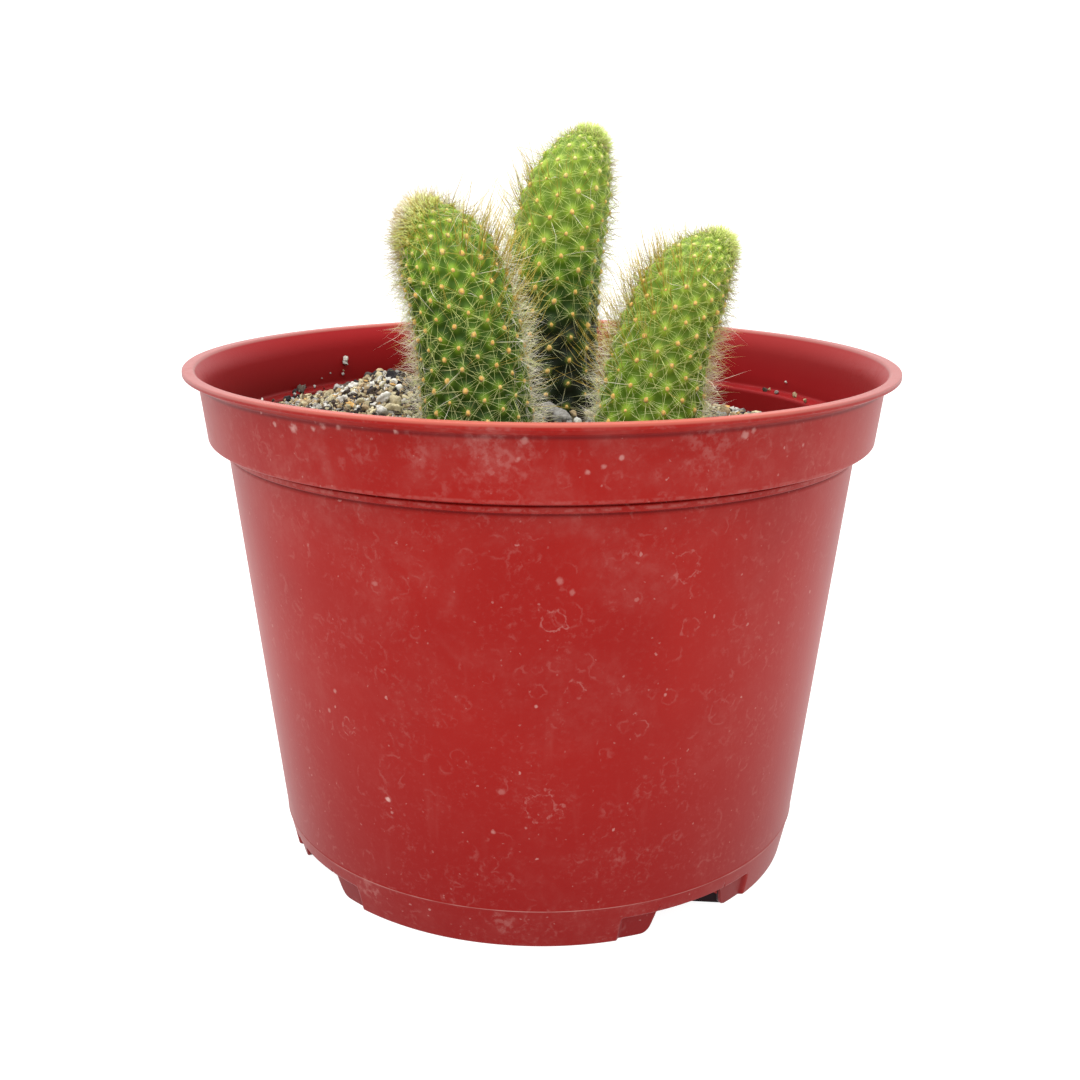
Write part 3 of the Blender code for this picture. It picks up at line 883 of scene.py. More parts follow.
@dataclass
class Pot:
    """The moulded pot: a closed section carried round, with four feet, windows and recessed panels."""

    rim: float = 76.0 * MM
    height: float = 109.2 * MM
    wall: float = 1.2 * MM
    lip_edge: float = 1.05 * MM
    lip_root: float = 2.5 * MM
    lip_inner: float = 74.0 * MM
    collar_top: float = 72.9 * MM
    collar_bottom: float = 71.5 * MM
    collar_depth: float = 14.7 * MM
    body_top: float = 67.9 * MM
    bead_drop: float = 16.5 * MM
    bead_height: float = 1.15 * MM
    bead_proud: float = 0.55 * MM
    groove: float = 0.4 * MM
    seam_height: float = 9.0 * MM
    seam_radius: float = 58.7 * MM
    seam_proud: float = 0.10 * MM
    foot: float = 56.85 * MM
    floor_low: float = 3.2 * MM
    floor_high: float = 4.5 * MM
    floor_overlap: float = 0.2 * MM
    floor_rows: tuple[int, int] = (46, 12)
    floor_rings: tuple[float, float] = (17.0 * MM, 36.0 * MM)
    ring_height: float = 0.45 * MM
    ring_width: float = 0.9 * MM
    feet: int = 4
    bearing: float = math.radians(-12.0)
    foot_half: float = math.radians(28.3)
    panel: float = math.radians(8.3)
    recess: float = 0.8 * MM
    window_top: float = 5.7 * MM
    window_depth: float = 6.0 * MM
    hinge: float = 5.3 * MM
    web_start: float = math.radians(2.6)
    web_length: float = 6.2 * MM
    web_thickness: float = 1.0 * MM
    web_inward: float = 0.75
    web_aside: float = 0.66
    web_low: float = 0.1 * MM
    columns: int = 216
    # the window's rounded end: how high its edge is at each distance past the end, towards the foot
    end_reach: tuple[float, ...] = (-0.5, -0.15, 0.05, 0.3, 0.55, 0.8, 1.1, 1.5, 2.0, 2.6, 3.1)
    end_height: tuple[float, ...] = (5.7, 5.55, 5.1, 4.2, 3.3, 2.35, 1.45, 0.75, 0.28, 0.05, 0.0)

    def body_radius(self, height: float) -> float:
        """The plain wall's outer radius at a height, below or above the seam."""
        heights = (0.0, self.seam_height, self.height - self.collar_depth)
        return float(np.interp(height, heights, (self.foot, self.seam_radius, self.body_top)))

    def wall_place(self, angle: float, height: float) -> Triple:
        """A place on the outer wall or collar.

        Args:
            angle: its angle from the front, in degrees.
            height: its height.

        Returns:
            The place.
        """
        collar = (self.height - self.collar_depth, self.height - self.lip_root)
        if height > collar[0]:
            radius = float(np.interp(height, collar, (self.collar_bottom, self.collar_top)))
        else:
            radius = self.body_radius(height)
        turn = math.radians(angle)
        return (radius * math.sin(turn), -radius * math.cos(turn), height)

    def section(self) -> tuple[np.ndarray, np.ndarray]:
        """The wall's closed section at a foot, up the outside and down the inside.

        Returns:
            Its (radius, height) points, and for each 1 on the inside of the wall and 0 outside.
        """
        collar = self.height - self.collar_depth
        bead = self.height - self.bead_drop
        half = self.bead_height / 2.0
        seam = self.seam_height
        mark = self.window_top

        def band(height: float, proud: float = 0.0, rounding: float = 0.0) -> Triple:
            """A corner on the plain wall."""
            return (self.body_radius(height) + proud, height, rounding)

        outside = [
            (self.foot, 0.0, 0.4 * MM),
            *(band(mark + rise * MM) for rise in (-0.45, -0.2, 0.05, 0.3)),
            band(seam - 0.3 * MM), band(seam, self.seam_proud), band(seam + 0.3 * MM),
            band(bead - half - 0.9 * MM), band(bead - half - 0.3 * MM, -self.groove, 0.2 * MM),
            band(bead - half, self.bead_proud, 0.2 * MM), band(bead + half, self.bead_proud, 0.3 * MM),
            band(bead + half + 0.2 * MM, -0.1 * MM, 0.1 * MM),
            (self.collar_bottom, collar, 0.45 * MM),
            (self.collar_top, self.height - self.lip_root, 0.5 * MM),
            (self.rim, self.height - self.lip_edge, 0.3 * MM),
            (self.rim, self.height, 0.35 * MM),
        ]
        inside = [
            (self.lip_inner - 0.3 * MM, self.height, 0.8 * MM),
            (self.collar_top - self.wall, self.height - 3.0 * MM, 8.0 * MM),
            (self.collar_bottom - self.wall, collar + self.wall, 0.7 * MM),
            (self.body_top - self.wall, collar + self.wall, 0.8 * MM),
            (self.seam_radius - self.wall, seam, 0.0),
            (self.foot - self.wall, 0.0, 0.2 * MM),
        ]
        outline = add_support(fillet_outline(outside + inside), 6.0 * MM, 0.3 * MM)
        lip_middle = (self.lip_inner + self.rim) / 2.0
        summit = int(np.argmax(outline[:, 1] - 1e-3 * abs(outline[:, 0] - lip_middle)))
        return outline, (np.arange(len(outline)) > summit).astype(float)

    def around(self, angles: np.ndarray, radius: np.ndarray, height: np.ndarray) -> Points:
        """Places by their angle from the front, their distance from the Z axis and their height."""
        return np.stack([radius * np.sin(angles), -radius * np.cos(angles), height], axis=-1)

    def from_foot(self, angles: np.ndarray) -> np.ndarray:
        """How far round each angle is from the middle of the nearest foot."""
        quarter = TURN / self.feet
        return np.abs((angles - self.bearing + quarter / 2.0) % quarter - quarter / 2.0)

    def column_angles(self) -> np.ndarray:
        """The angles of the wall's columns: even ones, and close ones at each recess and window end.

        Returns:
            The angles from the front, in rising order.
        """
        per_metre = 1.0 / self.foot
        recess_ends = self.foot_half + np.radians(np.linspace(-1.0, 1.6, 14))
        window_end = self.foot_half + self.panel
        window_ends = window_end - np.array(self.end_reach) * MM * per_metre
        special = np.concatenate([recess_ends, window_ends])
        special = np.concatenate([special, -special])
        feet = self.bearing + TURN / self.feet * np.arange(self.feet)
        special = (feet[:, None] + special[None, :]).ravel() % TURN
        even = np.arange(self.columns) * TURN / self.columns
        gap = np.abs((even[:, None] - special[None, :] + math.pi) % TURN - math.pi).min(axis=1)
        return np.sort(np.concatenate([even[gap > math.radians(0.25)], special]))

    def recess_at(self, angles: np.ndarray, heights: np.ndarray) -> np.ndarray:
        """How deep the recessed panels are: an eased step past each foot's end and under the window's top.

        Args:
            angles: angles from the front.
            heights: heights there.

        Returns:
            The depths.
        """
        edge = self.foot_half - math.radians(0.5) * (1.0 - heights / self.window_top)
        across = smooth_step(self.from_foot(angles) - edge, 0.0, math.radians(0.9))
        below = smooth_step(heights, self.window_top + 0.15 * MM, self.window_top - 0.35 * MM)
        return self.recess * across * below

    def build_wall(self, material: Material) -> Piece:
        """The wall, from the feet to the lip.

        Below the seam, each column's heights are pressed up to the window's edge: height z goes to
        edge + z (hinge - edge) / hinge, and the radius follows the slant of the foot band.

        Args:
            material: the pot's plastic.

        Returns:
            The wall.
        """
        outline, inner = self.section()
        angles = self.column_angles()
        past_end = (self.foot_half + self.panel - self.from_foot(angles)) * self.foot / MM
        edge = np.interp(past_end, self.end_reach, self.end_height) * MM
        raised = smooth_step(edge, 4.0 * MM, self.window_top)
        hinge = self.hinge + (self.seam_height - self.hinge) * raised
        plain = np.broadcast_to(outline[:, 1:2], (len(outline), len(angles)))
        pressed = np.where(plain < hinge, edge + plain * (hinge - edge) / hinge, plain)
        slant = (self.seam_radius - self.foot) / self.seam_height
        radius = outline[:, 0:1] + slant * (pressed - plain)
        sunk = np.where(plain < self.seam_height, self.recess_at(angles[None, :], pressed), 0.0)
        radius = radius - sunk
        points = self.around(angles, radius, pressed).reshape(-1, 3)
        faces = grid_faces(len(outline), len(angles), close_rows=True)
        values = {"inside": np.repeat(inner, len(angles)), "sunk": sunk.ravel() / self.recess}
        return make_piece("pot_wall", points, [faces], material, values)

    def build_floor(self, material: Material) -> Piece:
        """The floor: a disc with two moulded rings below, cut back at each window to leave a drain slot.

        Args:
            material: the pot's plastic.

        Returns:
            The floor.
        """
        angles = self.column_angles()
        middle = (self.floor_low + self.floor_high) / 2.0
        at_wall = self.body_radius(middle) - self.wall + self.floor_overlap
        at_wall = at_wall - self.recess_at(angles, np.full(len(angles), middle))
        slot = self.foot - self.recess - self.wall - self.window_depth
        window_end = self.foot_half + self.panel
        window = smooth_step(self.from_foot(angles), window_end - math.radians(0.3), window_end)
        edge = at_wall + (slot - at_wall) * window
        low_rows, high_rows = self.floor_rows
        shares = np.linspace(0.04, 0.98, low_rows)
        shares = np.concatenate([shares, [1.0], [1.0], np.linspace(0.98, 0.04, high_rows)])
        radius = shares[:, None] * edge[None, :]
        under = np.arange(len(shares))[:, None] <= low_rows
        rings = sum(np.exp(-((radius - place) / self.ring_width) ** 2) for place in self.floor_rings)
        height = np.where(under, self.floor_low - self.ring_height * rings, self.floor_high)
        grid = self.around(angles, radius, height)
        points, faces = capped_grid(grid, (0.0, 0.0, self.floor_low), (0.0, 0.0, self.floor_high))
        inside = np.append(np.repeat(1.0 - under[:, 0].astype(float), len(angles)), [0.0, 1.0])
        return make_piece("pot_floor", points, faces, material, {"inside": inside})

    def build_webs(self, material: Material) -> Piece:
        """The webs: near-black plates, painted shade standing in for the shadow in each drain slot, slanting
        from one end of each foot to the floor.

        Args:
            material: the pot's plastic.

        Returns:
            The webs.
        """
        first = self.bearing - self.foot_half - self.panel + self.web_start
        turns = first + TURN / self.feet * np.arange(self.feet)
        out = np.stack([np.sin(turns), -np.cos(turns)], axis=-1)
        aside = np.stack([-np.cos(turns), -np.sin(turns)], axis=-1)
        along = -self.web_inward * out + self.web_aside * aside
        across = np.stack([along[:, 1], -along[:, 0]], axis=-1)
        start = out * (self.foot - self.recess - self.wall)
        end = start + along * self.web_length
        half = across * self.web_thickness / 2.0
        corners = np.stack([start - half, end - half, end + half, start + half], axis=1)
        low = np.full((self.feet, 4, 1), self.web_low)
        high = np.full((self.feet, 4, 1), self.floor_high)
        points = np.concatenate([np.concatenate([corners, z], axis=-1) for z in (low, high)], axis=1)
        box = np.array([[0, 1, 2, 3], [7, 6, 5, 4], [0, 4, 5, 1], [1, 5, 6, 2], [2, 6, 7, 3], [3, 7, 4, 0]])
        faces = repeat_faces(box, self.feet, 8)
        # the webs count as inside, so they take the near-black painted shade under the pot
        values = {"inside": np.ones(self.feet * 8)}
        return make_piece("pot_shade_webs", points.reshape(-1, 3), [faces], material, values, smooth=False)

    def build(self) -> None:
        """Make the pot's pieces."""
        material = PotPlastic(self).material()
        for piece in (self.build_wall(material), self.build_floor(material), self.build_webs(material)):
            settle(piece, "pot")


# The stems


@dataclass(frozen=True)
class SpineSort:
    """One sort of spine.

    It says how many an areole may have, how long they are and how far they lean from the normal in
    degrees, how thick they are, how far they curve to the skin, and how likely each is.
    """

    count: int
    length: tuple[float, float]
    lean: tuple[float, float]
    width: float
    sag: float = 0.0
    chance: float = 1.0


@dataclass
class Areoles:
    """Every areole of a stem: its place, the directions there, how far along it is, and its size."""

    root: Points
    outward: Points
    upward: Points
    sideways: Points
    share: np.ndarray
    size: np.ndarray


@dataclass
class Strands:
    """Fine tapering strands: three places along each, and the numbers that colour them."""

    root: Points
    middle: Points
    tip: Points
    width: np.ndarray
    age: np.ndarray
    tone: np.ndarray

    def mesh(self) -> tuple[Points, list[Faces], dict[str, np.ndarray]]:
        """Three-sided tubes: a ring at the root, a ring of 0.8 the width at the middle, and a pointed tip.

        A ring's corners are its centre plus half the width times cos a across and sin a along a third
        direction, square to both.

        Returns:
            The vertices, the blocks of faces, and the attributes.
        """
        count = len(self.root)
        axis = unit(self.tip - self.root)
        helper = np.where(np.abs(axis[:, 2:3]) < 0.8, np.array([0.0, 0.0, 1.0]), np.array([1.0, 0.0, 0.0]))
        across = unit(np.cross(axis, helper))
        third = np.cross(axis, across)
        turns = TURN * np.arange(3) / 3.0
        ring = across[:, None, :] * np.cos(turns)[:, None] + third[:, None, :] * np.sin(turns)[:, None]
        ring = ring * (self.width / 2.0)[:, None, None]
        points = np.concatenate(
            [self.root[:, None, :] + ring, self.middle[:, None, :] + 0.8 * ring, self.tip[:, None, :]], axis=1
        )
        quads = np.array([[0, 1, 4, 3], [1, 2, 5, 4], [2, 0, 3, 5]])
        triangles = np.array([[0, 2, 1], [3, 4, 6], [4, 5, 6], [5, 3, 6]])
        faces = [repeat_faces(quads, count, 7), repeat_faces(triangles, count, 7)]
        along = np.tile([0.0, 0.0, 0.0, 0.5, 0.5, 0.5, 1.0], count)
        values = {"along": along, "age": np.repeat(self.age, 7), "tone": np.repeat(self.tone, 7)}
        return points.reshape(-1, 3), faces, values


@dataclass
class Stem:
    """One ribbed stem that bends in the XZ plane, with its areoles, wool and spines."""

    name: str
    # the axis: where its foot is, its lean from upright there and at the tip in degrees, how late it bends
    foot: tuple[float, float]
    lean_foot: float
    lean_tip: float
    bend: float
    length: float
    # the section: how much it narrows, how high the dome at the tip is, and how full
    radius: float
    taper: float
    dome: float
    fullness: float
    seed: int
    # the pattern: areoles a pitch apart on each rib, a part of the pitch later than on the last rib
    ribs: int
    pitch: float
    spiral: float
    twist: float
    first_rib: float
    first_whorl: float
    # near the tip: the spines' length and gold, and the hairs of the crown
    tip_length: float = 0.6
    tip_gold: float = 0.0
    crown_hairs: int = 350
    crown_reach: float = 4.0 * MM
    crown_age: float = 0.9
    crown_tone: tuple[float, float] = (0.0, 0.8)
    # age runs from this at the foot to 1 at the tip, and colours the skin and the spines
    foot_age: float = 0.3
    ripening: float = 1.0
    fringe_reach: float = 0.75
    # low down, how much painted shade darkens the skin, and how many spines are missing
    shade: float = 0.0
    thinning: float = 0.0
    # the skin's relief and its mesh
    relief: float = 0.55 * MM
    root_height: float = 81.0 * MM
    bare: float = 8.0 * MM
    row_step: float = 0.42 * MM
    dome_rows: int = 40
    rib_columns: int = 10
    density: float = 1.0
    wobble: float = 0.12 * MM
    wobble_size: float = 5.0 * MM
    wool_corners: int = 7
    wool_size: float = 0.6 * MM
    hair_length: tuple[float, float] = (0.9 * MM, 2.6 * MM)
    hair_width: float = 0.13 * MM
    over_soil: float = 0.35 * MM
    between_stems: float = 0.7 * MM
    radial: SpineSort = SpineSort(11, (3.2 * MM, 6.2 * MM), (55.0, 88.0), 0.062 * MM, -0.05)
    central: SpineSort = SpineSort(6, (3.8 * MM, 8.2 * MM), (20.0, 72.0), 0.072 * MM)
    fuzz: SpineSort = SpineSort(2, (0.7 * MM, 1.1 * MM), (10.0, 75.0), 0.08 * MM)
    fringe: SpineSort = SpineSort(18, (2.6 * MM, 6.2 * MM), (20.0, 80.0), 0.07 * MM)
    stray: SpineSort = SpineSort(1, (7.0 * MM, 11.0 * MM), (25.0, 60.0), 0.11 * MM, 0.0, 0.3)
    upright: SpineSort = SpineSort(8, (5.0 * MM, 14.0 * MM), (0.0, 35.0), 0.125 * MM)

    def __post_init__(self) -> None:
        """Work out the axis: its slope at a share t is lean_foot + (lean_tip - lean_foot) t to the bend."""
        share = np.linspace(0.0, 1.0, 400)
        self.stations = share * self.length
        self.leans = np.radians(self.lean_foot + (self.lean_tip - self.lean_foot) * share ** self.bend)
        steps = np.diff(self.stations)
        middle = (self.leans[1:] + self.leans[:-1]) / 2.0
        self.axis_x = self.foot[0] + np.concatenate([[0.0], np.cumsum(np.sin(middle) * steps)])
        self.axis_z = self.root_height + np.concatenate([[0.0], np.cumsum(np.cos(middle) * steps)])
        radii = self.radius_at(self.stations)
        arc = np.hypot(np.diff(self.stations), np.diff(radii))
        shrink = np.maximum(0.34, (radii / self.radius) ** 0.7)
        shrink = (shrink[1:] + shrink[:-1]) / 2.0
        self.whorls = np.concatenate([[0.0], np.cumsum(arc / (self.pitch * shrink))]) - self.first_whorl

    def axis_point(self, station: np.ndarray) -> tuple[Points, np.ndarray]:
        """The axis at distances along the stem.

        Args:
            station: the distances.

        Returns:
            The axis's places, and its lean from upright there.
        """
        x = np.interp(station, self.stations, self.axis_x)
        z = np.interp(station, self.stations, self.axis_z)
        point = np.stack([x, np.full(np.shape(x), self.foot[1]), z], axis=-1)
        return point, np.interp(station, self.stations, self.leans)

    def radius_at(self, station: np.ndarray) -> np.ndarray:
        """The stem's radius: a slight taper, times the root of 1 less u to the fullness over the dome.

        Args:
            station: distances along the stem.

        Returns:
            The radius at each.
        """
        into_dome = np.clip((station - self.length + self.dome) / self.dome, 0.0, 1.0)
        tapered = self.radius * (1.0 - self.taper * station / self.length)
        return tapered * np.sqrt(1.0 - into_dome ** self.fullness)

    def surface(self, station: np.ndarray, angle: np.ndarray, radius: np.ndarray) -> Points:
        """Places at an angle round the axis: the axis plus radius times cos and sin of the angle.

        Args:
            station: distance along the stem.
            angle: angle round the axis, 0 towards +X.
            radius: distance from the axis.

        Returns:
            The places, as (..., 3).
        """
        centre, lean = self.axis_point(station)
        side = np.stack([np.cos(lean), np.zeros(np.shape(lean)), -np.sin(lean)], axis=-1)
        depth = np.array([0.0, 1.0, 0.0])
        across = (radius * np.cos(angle))[..., None]
        behind = (radius * np.sin(angle))[..., None]
        return centre + side * across + depth * behind

    def rib_angle(self, rib: np.ndarray, station: np.ndarray) -> np.ndarray:
        """Where a rib lies round the stem, with its slight twist."""
        return TURN * (rib + self.first_rib) / self.ribs + math.radians(self.twist) * station / self.length

    def distance(self, places: Points) -> np.ndarray:
        """How far places are outside this stem, taken as balls strung along its axis.

        Args:
            places: the places, as (n, 3).

        Returns:
            The distances, below 0 inside.
        """
        station = np.linspace(0.0, self.length, 70)
        centre, _ = self.axis_point(station)
        gaps = np.linalg.norm(places[:, None, :] - centre[None, :, :], axis=-1)
        return (gaps - self.radius_at(station)[None, :]).min(axis=1)

    def tubercle(self, rib: np.ndarray, whorl: np.ndarray) -> np.ndarray:
        """How high the skin swells, 1 at each areole and 0 in the channels.

        The mean of three cosine waves that all peak where an areole is: one across the ribs, and two
        that slant along them, because each rib's areoles start a part of the pitch after the last rib's.

        Args:
            rib: places round the stem, counted in ribs.
            whorl: places along it, counted in areoles of one rib.

        Returns:
            The heights.
        """
        slant = whorl - self.spiral * rib
        other = slant + np.sign(self.spiral) * rib
        waves = np.cos(TURN * rib) + np.cos(TURN * slant) + np.cos(TURN * other)
        return (waves / 3.0 + 0.5) / 1.5

    def age_at(self, share: np.ndarray) -> np.ndarray:
        """The age that colours the skin, from the foot's to 1 at the tip, less low down where painted shade
        darkens it.
        """
        ripe = self.foot_age + (1.0 - self.foot_age) * share ** self.ripening
        return ripe - self.shade * smooth_step(share, 0.72, 0.42)

    def build_skin(self, material: Material) -> Piece:
        """The ribbed skin: the stem's surface, raised at each tubercle and sunk between them.

        Args:
            material: the green skin.

        Returns:
            The skin.
        """
        shaft = self.length - self.dome
        rows = np.arange(self.bare, shaft, self.row_step)
        turns = np.linspace(0.0, math.pi / 2.0, self.dome_rows, endpoint=False)
        station = np.concatenate([[0.0], rows, shaft + self.dome * np.sin(turns)])
        columns = self.ribs * self.rib_columns
        rib = np.arange(columns) / self.rib_columns
        whorl = np.interp(station, self.stations, self.whorls)
        swell = self.tubercle(rib[None, :], whorl[:, None])
        radius = self.radius_at(station)[:, None]
        height = self.relief * (2.0 * swell ** 0.8 - 1.0) * (radius / self.radius) ** 0.6
        height = height * smooth_step(station, 0.0, self.bare)[:, None]
        angle = self.rib_angle(rib[None, :], station[:, None])
        spread = np.broadcast_to(station[:, None], angle.shape)
        points = self.surface(spread, angle, radius + height)
        wobble = lattice_noise(points, self.wobble_size, self.seed) * self.wobble
        points = self.surface(spread, angle, radius + height + wobble)
        points, faces = capped_grid(points, self.axis_point(0.0)[0], self.axis_point(self.length)[0])
        values = {
            "crest": np.append(swell.ravel(), [0.0, 1.0]),
            "age": np.append(np.repeat(self.age_at(station / self.length), columns), [0.0, 1.0]),
        }
        return make_piece(f"{self.name}_skin", points, faces, material, values)

    def areoles(self, soil: "Soil") -> Areoles:
        """Find each areole, leave out those under the soil, and thin them out near the tip.

        Args:
            soil: the soil that hides the lowest.

        Returns:
            The areoles that show.
        """
        rib = np.arange(self.ribs)[:, None]
        step = np.arange(int(self.whorls[-1]) + 1)[None, :]
        whorl = step + (self.spiral * rib) % 1.0
        station = np.interp(whorl, self.whorls, self.stations)
        spacing = TURN * self.radius_at(station) / self.ribs
        shown = (whorl < self.whorls[-1]) & (spacing > 0.5 * MM)
        shown &= (spacing > 1.05 * MM) | (rib % 2 == 0)
        rib = np.broadcast_to(rib, station.shape)[shown]
        station = station[shown]
        radius = self.radius_at(station)
        angle = self.rib_angle(rib, station)
        swell = self.relief * (radius / self.radius) ** 0.6
        here = self.surface(station, angle, radius + swell)
        ahead = self.surface(station + 0.1 * MM, angle, self.radius_at(station + 0.1 * MM) + swell)
        aside = self.surface(station, angle + 0.02, radius + swell)
        upward = unit(ahead - here)
        sideways = unit(aside - here)
        outward = unit(np.cross(sideways, upward))
        size = np.clip((radius / self.radius) ** 0.5, 0.45, 1.0)
        free = here[:, 2] > soil.height_at(here[:, 0], here[:, 1]) - 0.5 * MM
        found = (here, outward, upward, sideways, station / self.length, size)
        return Areoles(*(numbers[free] for numbers in found))

    def build_wool(self, areoles: Areoles, material: Material) -> Piece:
        """A lumpy low cushion of wool on each areole: two rings and a middle, closed underneath.

        Args:
            areoles: where the cushions go.
            material: the wool.

        Returns:
            The wool.
        """
        rng = np.random.default_rng(self.seed + 1)
        count = len(areoles.root)
        around = self.wool_corners
        turns = TURN * np.arange(around) / around
        ring = np.stack([np.cos(turns), np.sin(turns)], axis=-1)
        flat = np.concatenate([[[0.0, 0.0]], 0.55 * ring, ring, [[0.0, 0.0]]])
        rise = np.concatenate([[0.62], np.full(around, 0.45), np.full(around, -0.3), [-0.5]])
        size = (areoles.size * self.wool_size * rng.uniform(0.7, 1.2, count))[:, None, None]
        lump = rng.uniform(0.8, 1.2, (count, len(flat), 1))
        offset = (
            areoles.sideways[:, None, :] * flat[None, :, 0:1]
            + areoles.upward[:, None, :] * flat[None, :, 1:2] * 1.15
        ) * lump + areoles.outward[:, None, :] * rise[None, :, None] * lump
        points = areoles.root[:, None, :] + offset * size
        faces = np.concatenate([
            fan_faces(1, around, 0, above=True),
            fan_faces(1 + around, around, 1 + 2 * around, above=False),
        ])
        band = np.array([
            [1 + around + step, 1 + around + (step + 1) % around, 1 + (step + 1) % around, 1 + step]
            for step in range(around)
        ])
        blocks = [repeat_faces(faces, count, len(flat)), repeat_faces(band, count, len(flat))]
        values = {"age": np.repeat(areoles.share, len(flat))}
        return make_piece(f"{self.name}_wool", points.reshape(-1, 3), blocks, material, values)

    def grow(self, areoles: Areoles, sort: SpineSort, rng: Rng) -> Strands:
        """Strands of one sort at every areole.

        Each leans from the skin's normal by its lean, towards a direction drawn round the areole, and
        curves by its sag towards the skin. Those on an upper side reach up and grow longer.

        Args:
            areoles: where they grow.
            sort: how many there are, and their sizes.
            rng: the stem's random numbers.

        Returns:
            The strands.
        """
        index = np.repeat(np.arange(len(areoles.root)), sort.count)
        count = len(index)
        outward = areoles.outward[index]
        upward = areoles.upward[index]
        sideways = areoles.sideways[index]
        share = areoles.share[index]
        step = np.tile(np.arange(sort.count), len(areoles.root))
        turn = TURN * (step + rng.uniform(-0.8, 0.8, count)) / sort.count
        lean = np.radians(rng.uniform(*sort.lean, count))
        around = unit(upward * 0.65 * np.cos(turn)[:, None] + sideways * np.sin(turn)[:, None])
        direction = outward * np.cos(lean)[:, None] + around * np.sin(lean)[:, None]
        length = rng.uniform(*sort.length, count) * (0.4 + 0.6 * areoles.size[index])
        length = length * (1.15 + (self.tip_length - 1.15) * smooth_step(share, 0.6, 1.0))
        tone = rng.random(count) * (0.85 + 0.15 * smooth_step(share, 0.4, 0.6))
        tone = tone + self.tip_gold * smooth_step(share, 0.62, 0.92)
        upper = smooth_step(outward[:, 2], -0.02, 0.35)
        upper = upper * smooth_step(share, 0.3, 0.5) * smooth_step(share, 0.93, 0.75)
        if sort is self.upright:
            lift = (upper * rng.uniform(0.8, 3.5, count))[:, None]
            direction = unit(direction + np.array([0.0, 0.0, 1.0]) * lift)
            tone = rng.uniform(0.93, 1.0, count)
        reach = rng.uniform(0.3 * MM, 1.1 * MM, count)[:, None]
        root = areoles.root[index] + around * reach - outward * (0.1 * MM + 0.3 * reach)
        bow = outward * (sort.sag * length)[:, None]
        tip = root + direction * length[:, None] + bow
        middle = root + direction * (0.5 * length)[:, None] - 0.5 * bow
        middle = middle + rng.normal(size=(count, 3)) * (0.04 * length)[:, None]
        width = sort.width * rng.uniform(0.8, 1.15, count)
        missing = self.thinning * smooth_step(share, 0.62, 0.36)
        # the painted shade on the skin also lowers the spines' age low down
        age = np.clip(share - 0.3 * self.shade * missing, 0.22, 1.0)
        if sort is self.fringe:
            # the beige fringe is thickest on the flanks and behind, low on the stem
            flank = smooth_step(outward[:, 1], -0.85, -0.25)
            low = smooth_step(share, self.fringe_reach, self.fringe_reach - 0.25)
            missing = np.maximum(missing, 1.0 - flank * (0.6 + 0.4 * low))
            age = 0.01 + 0.09 * low
            width = width * (1.5 - 0.5 * low)
            middle = root + (middle - root) * (1.3 - 0.3 * low)[:, None]
            tip = root + (tip - root) * (1.3 - 0.3 * low)[:, None]
            tone = np.full(count, 0.5)
        elif sort is self.stray:
            age = np.full(count, 0.12)
            tone = np.full(count, 0.5)
        elif sort is self.upright:
            missing = 1.0 - upper
        density = 1.0 if sort in (self.fringe, self.upright) else self.density
        kept = rng.random(count) < density * sort.chance * (1.0 - missing)
        found = (root, middle, tip, width, age, tone)
        return Strands(*(numbers[kept] for numbers in found))

    def crown(self, rng: Rng) -> Strands:
        """The tuft of wool at the tip: short hairs from the dome's top, drawn towards the axis.

        Args:
            rng: the stem's random numbers.

        Returns:
            The strands.
        """
        count = self.crown_hairs
        near = self.radius_at(self.stations)
        top = np.interp(self.crown_reach, near[::-1], self.stations[::-1])
        away = rng.random(count) ** 1.4
        station = self.length - (self.length - top) * away
        angle = TURN * rng.random(count)
        radius = self.radius_at(station)
        here = self.surface(station, angle, radius)
        centre, lean = self.axis_point(station)
        forward = np.stack([np.sin(lean), np.zeros(count), np.cos(lean)], axis=-1)
        outward = unit(here - centre + forward * (0.35 * self.crown_reach))
        direction = unit(0.9 * forward + 0.75 * outward + 0.35 * rng.normal(size=(count, 3)))
        length = rng.uniform(*self.hair_length, count)
        tip = here + direction * length[:, None]
        middle = here + direction * (0.5 * length)[:, None] + rng.normal(size=(count, 3)) * 0.12 * MM
        root = here - outward * (0.3 * MM)
        age = self.crown_age + (0.9 - self.crown_age) * away ** 1.5 + rng.uniform(-0.05, 0.08, count)
        tone = rng.uniform(*self.crown_tone, count)
        return Strands(root, middle, tip, np.full(count, self.hair_width), age, tone)

    def keep_clear(self, strands: Strands, soil: "Soil", others: Sequence["Stem"]) -> None:
        """Bend strands up off the soil, and shorten those that would run into another stem.

        Args:
            strands: the strands, which this changes.
            soil: the soil under them.
            others: the other stems.
        """
        for places in (strands.middle, strands.tip):
            floor = soil.height_at(places[:, 0], places[:, 1]) + self.over_soil
            places[:, 2] = np.maximum(places[:, 2], floor)
        for other in others:
            for shrink in (0.6, 0.5):
                inside = other.distance(strands.tip) < self.between_stems
                for places in (strands.middle, strands.tip):
                    pulled = strands.root + (places - strands.root) * shrink
                    places[inside] = pulled[inside]

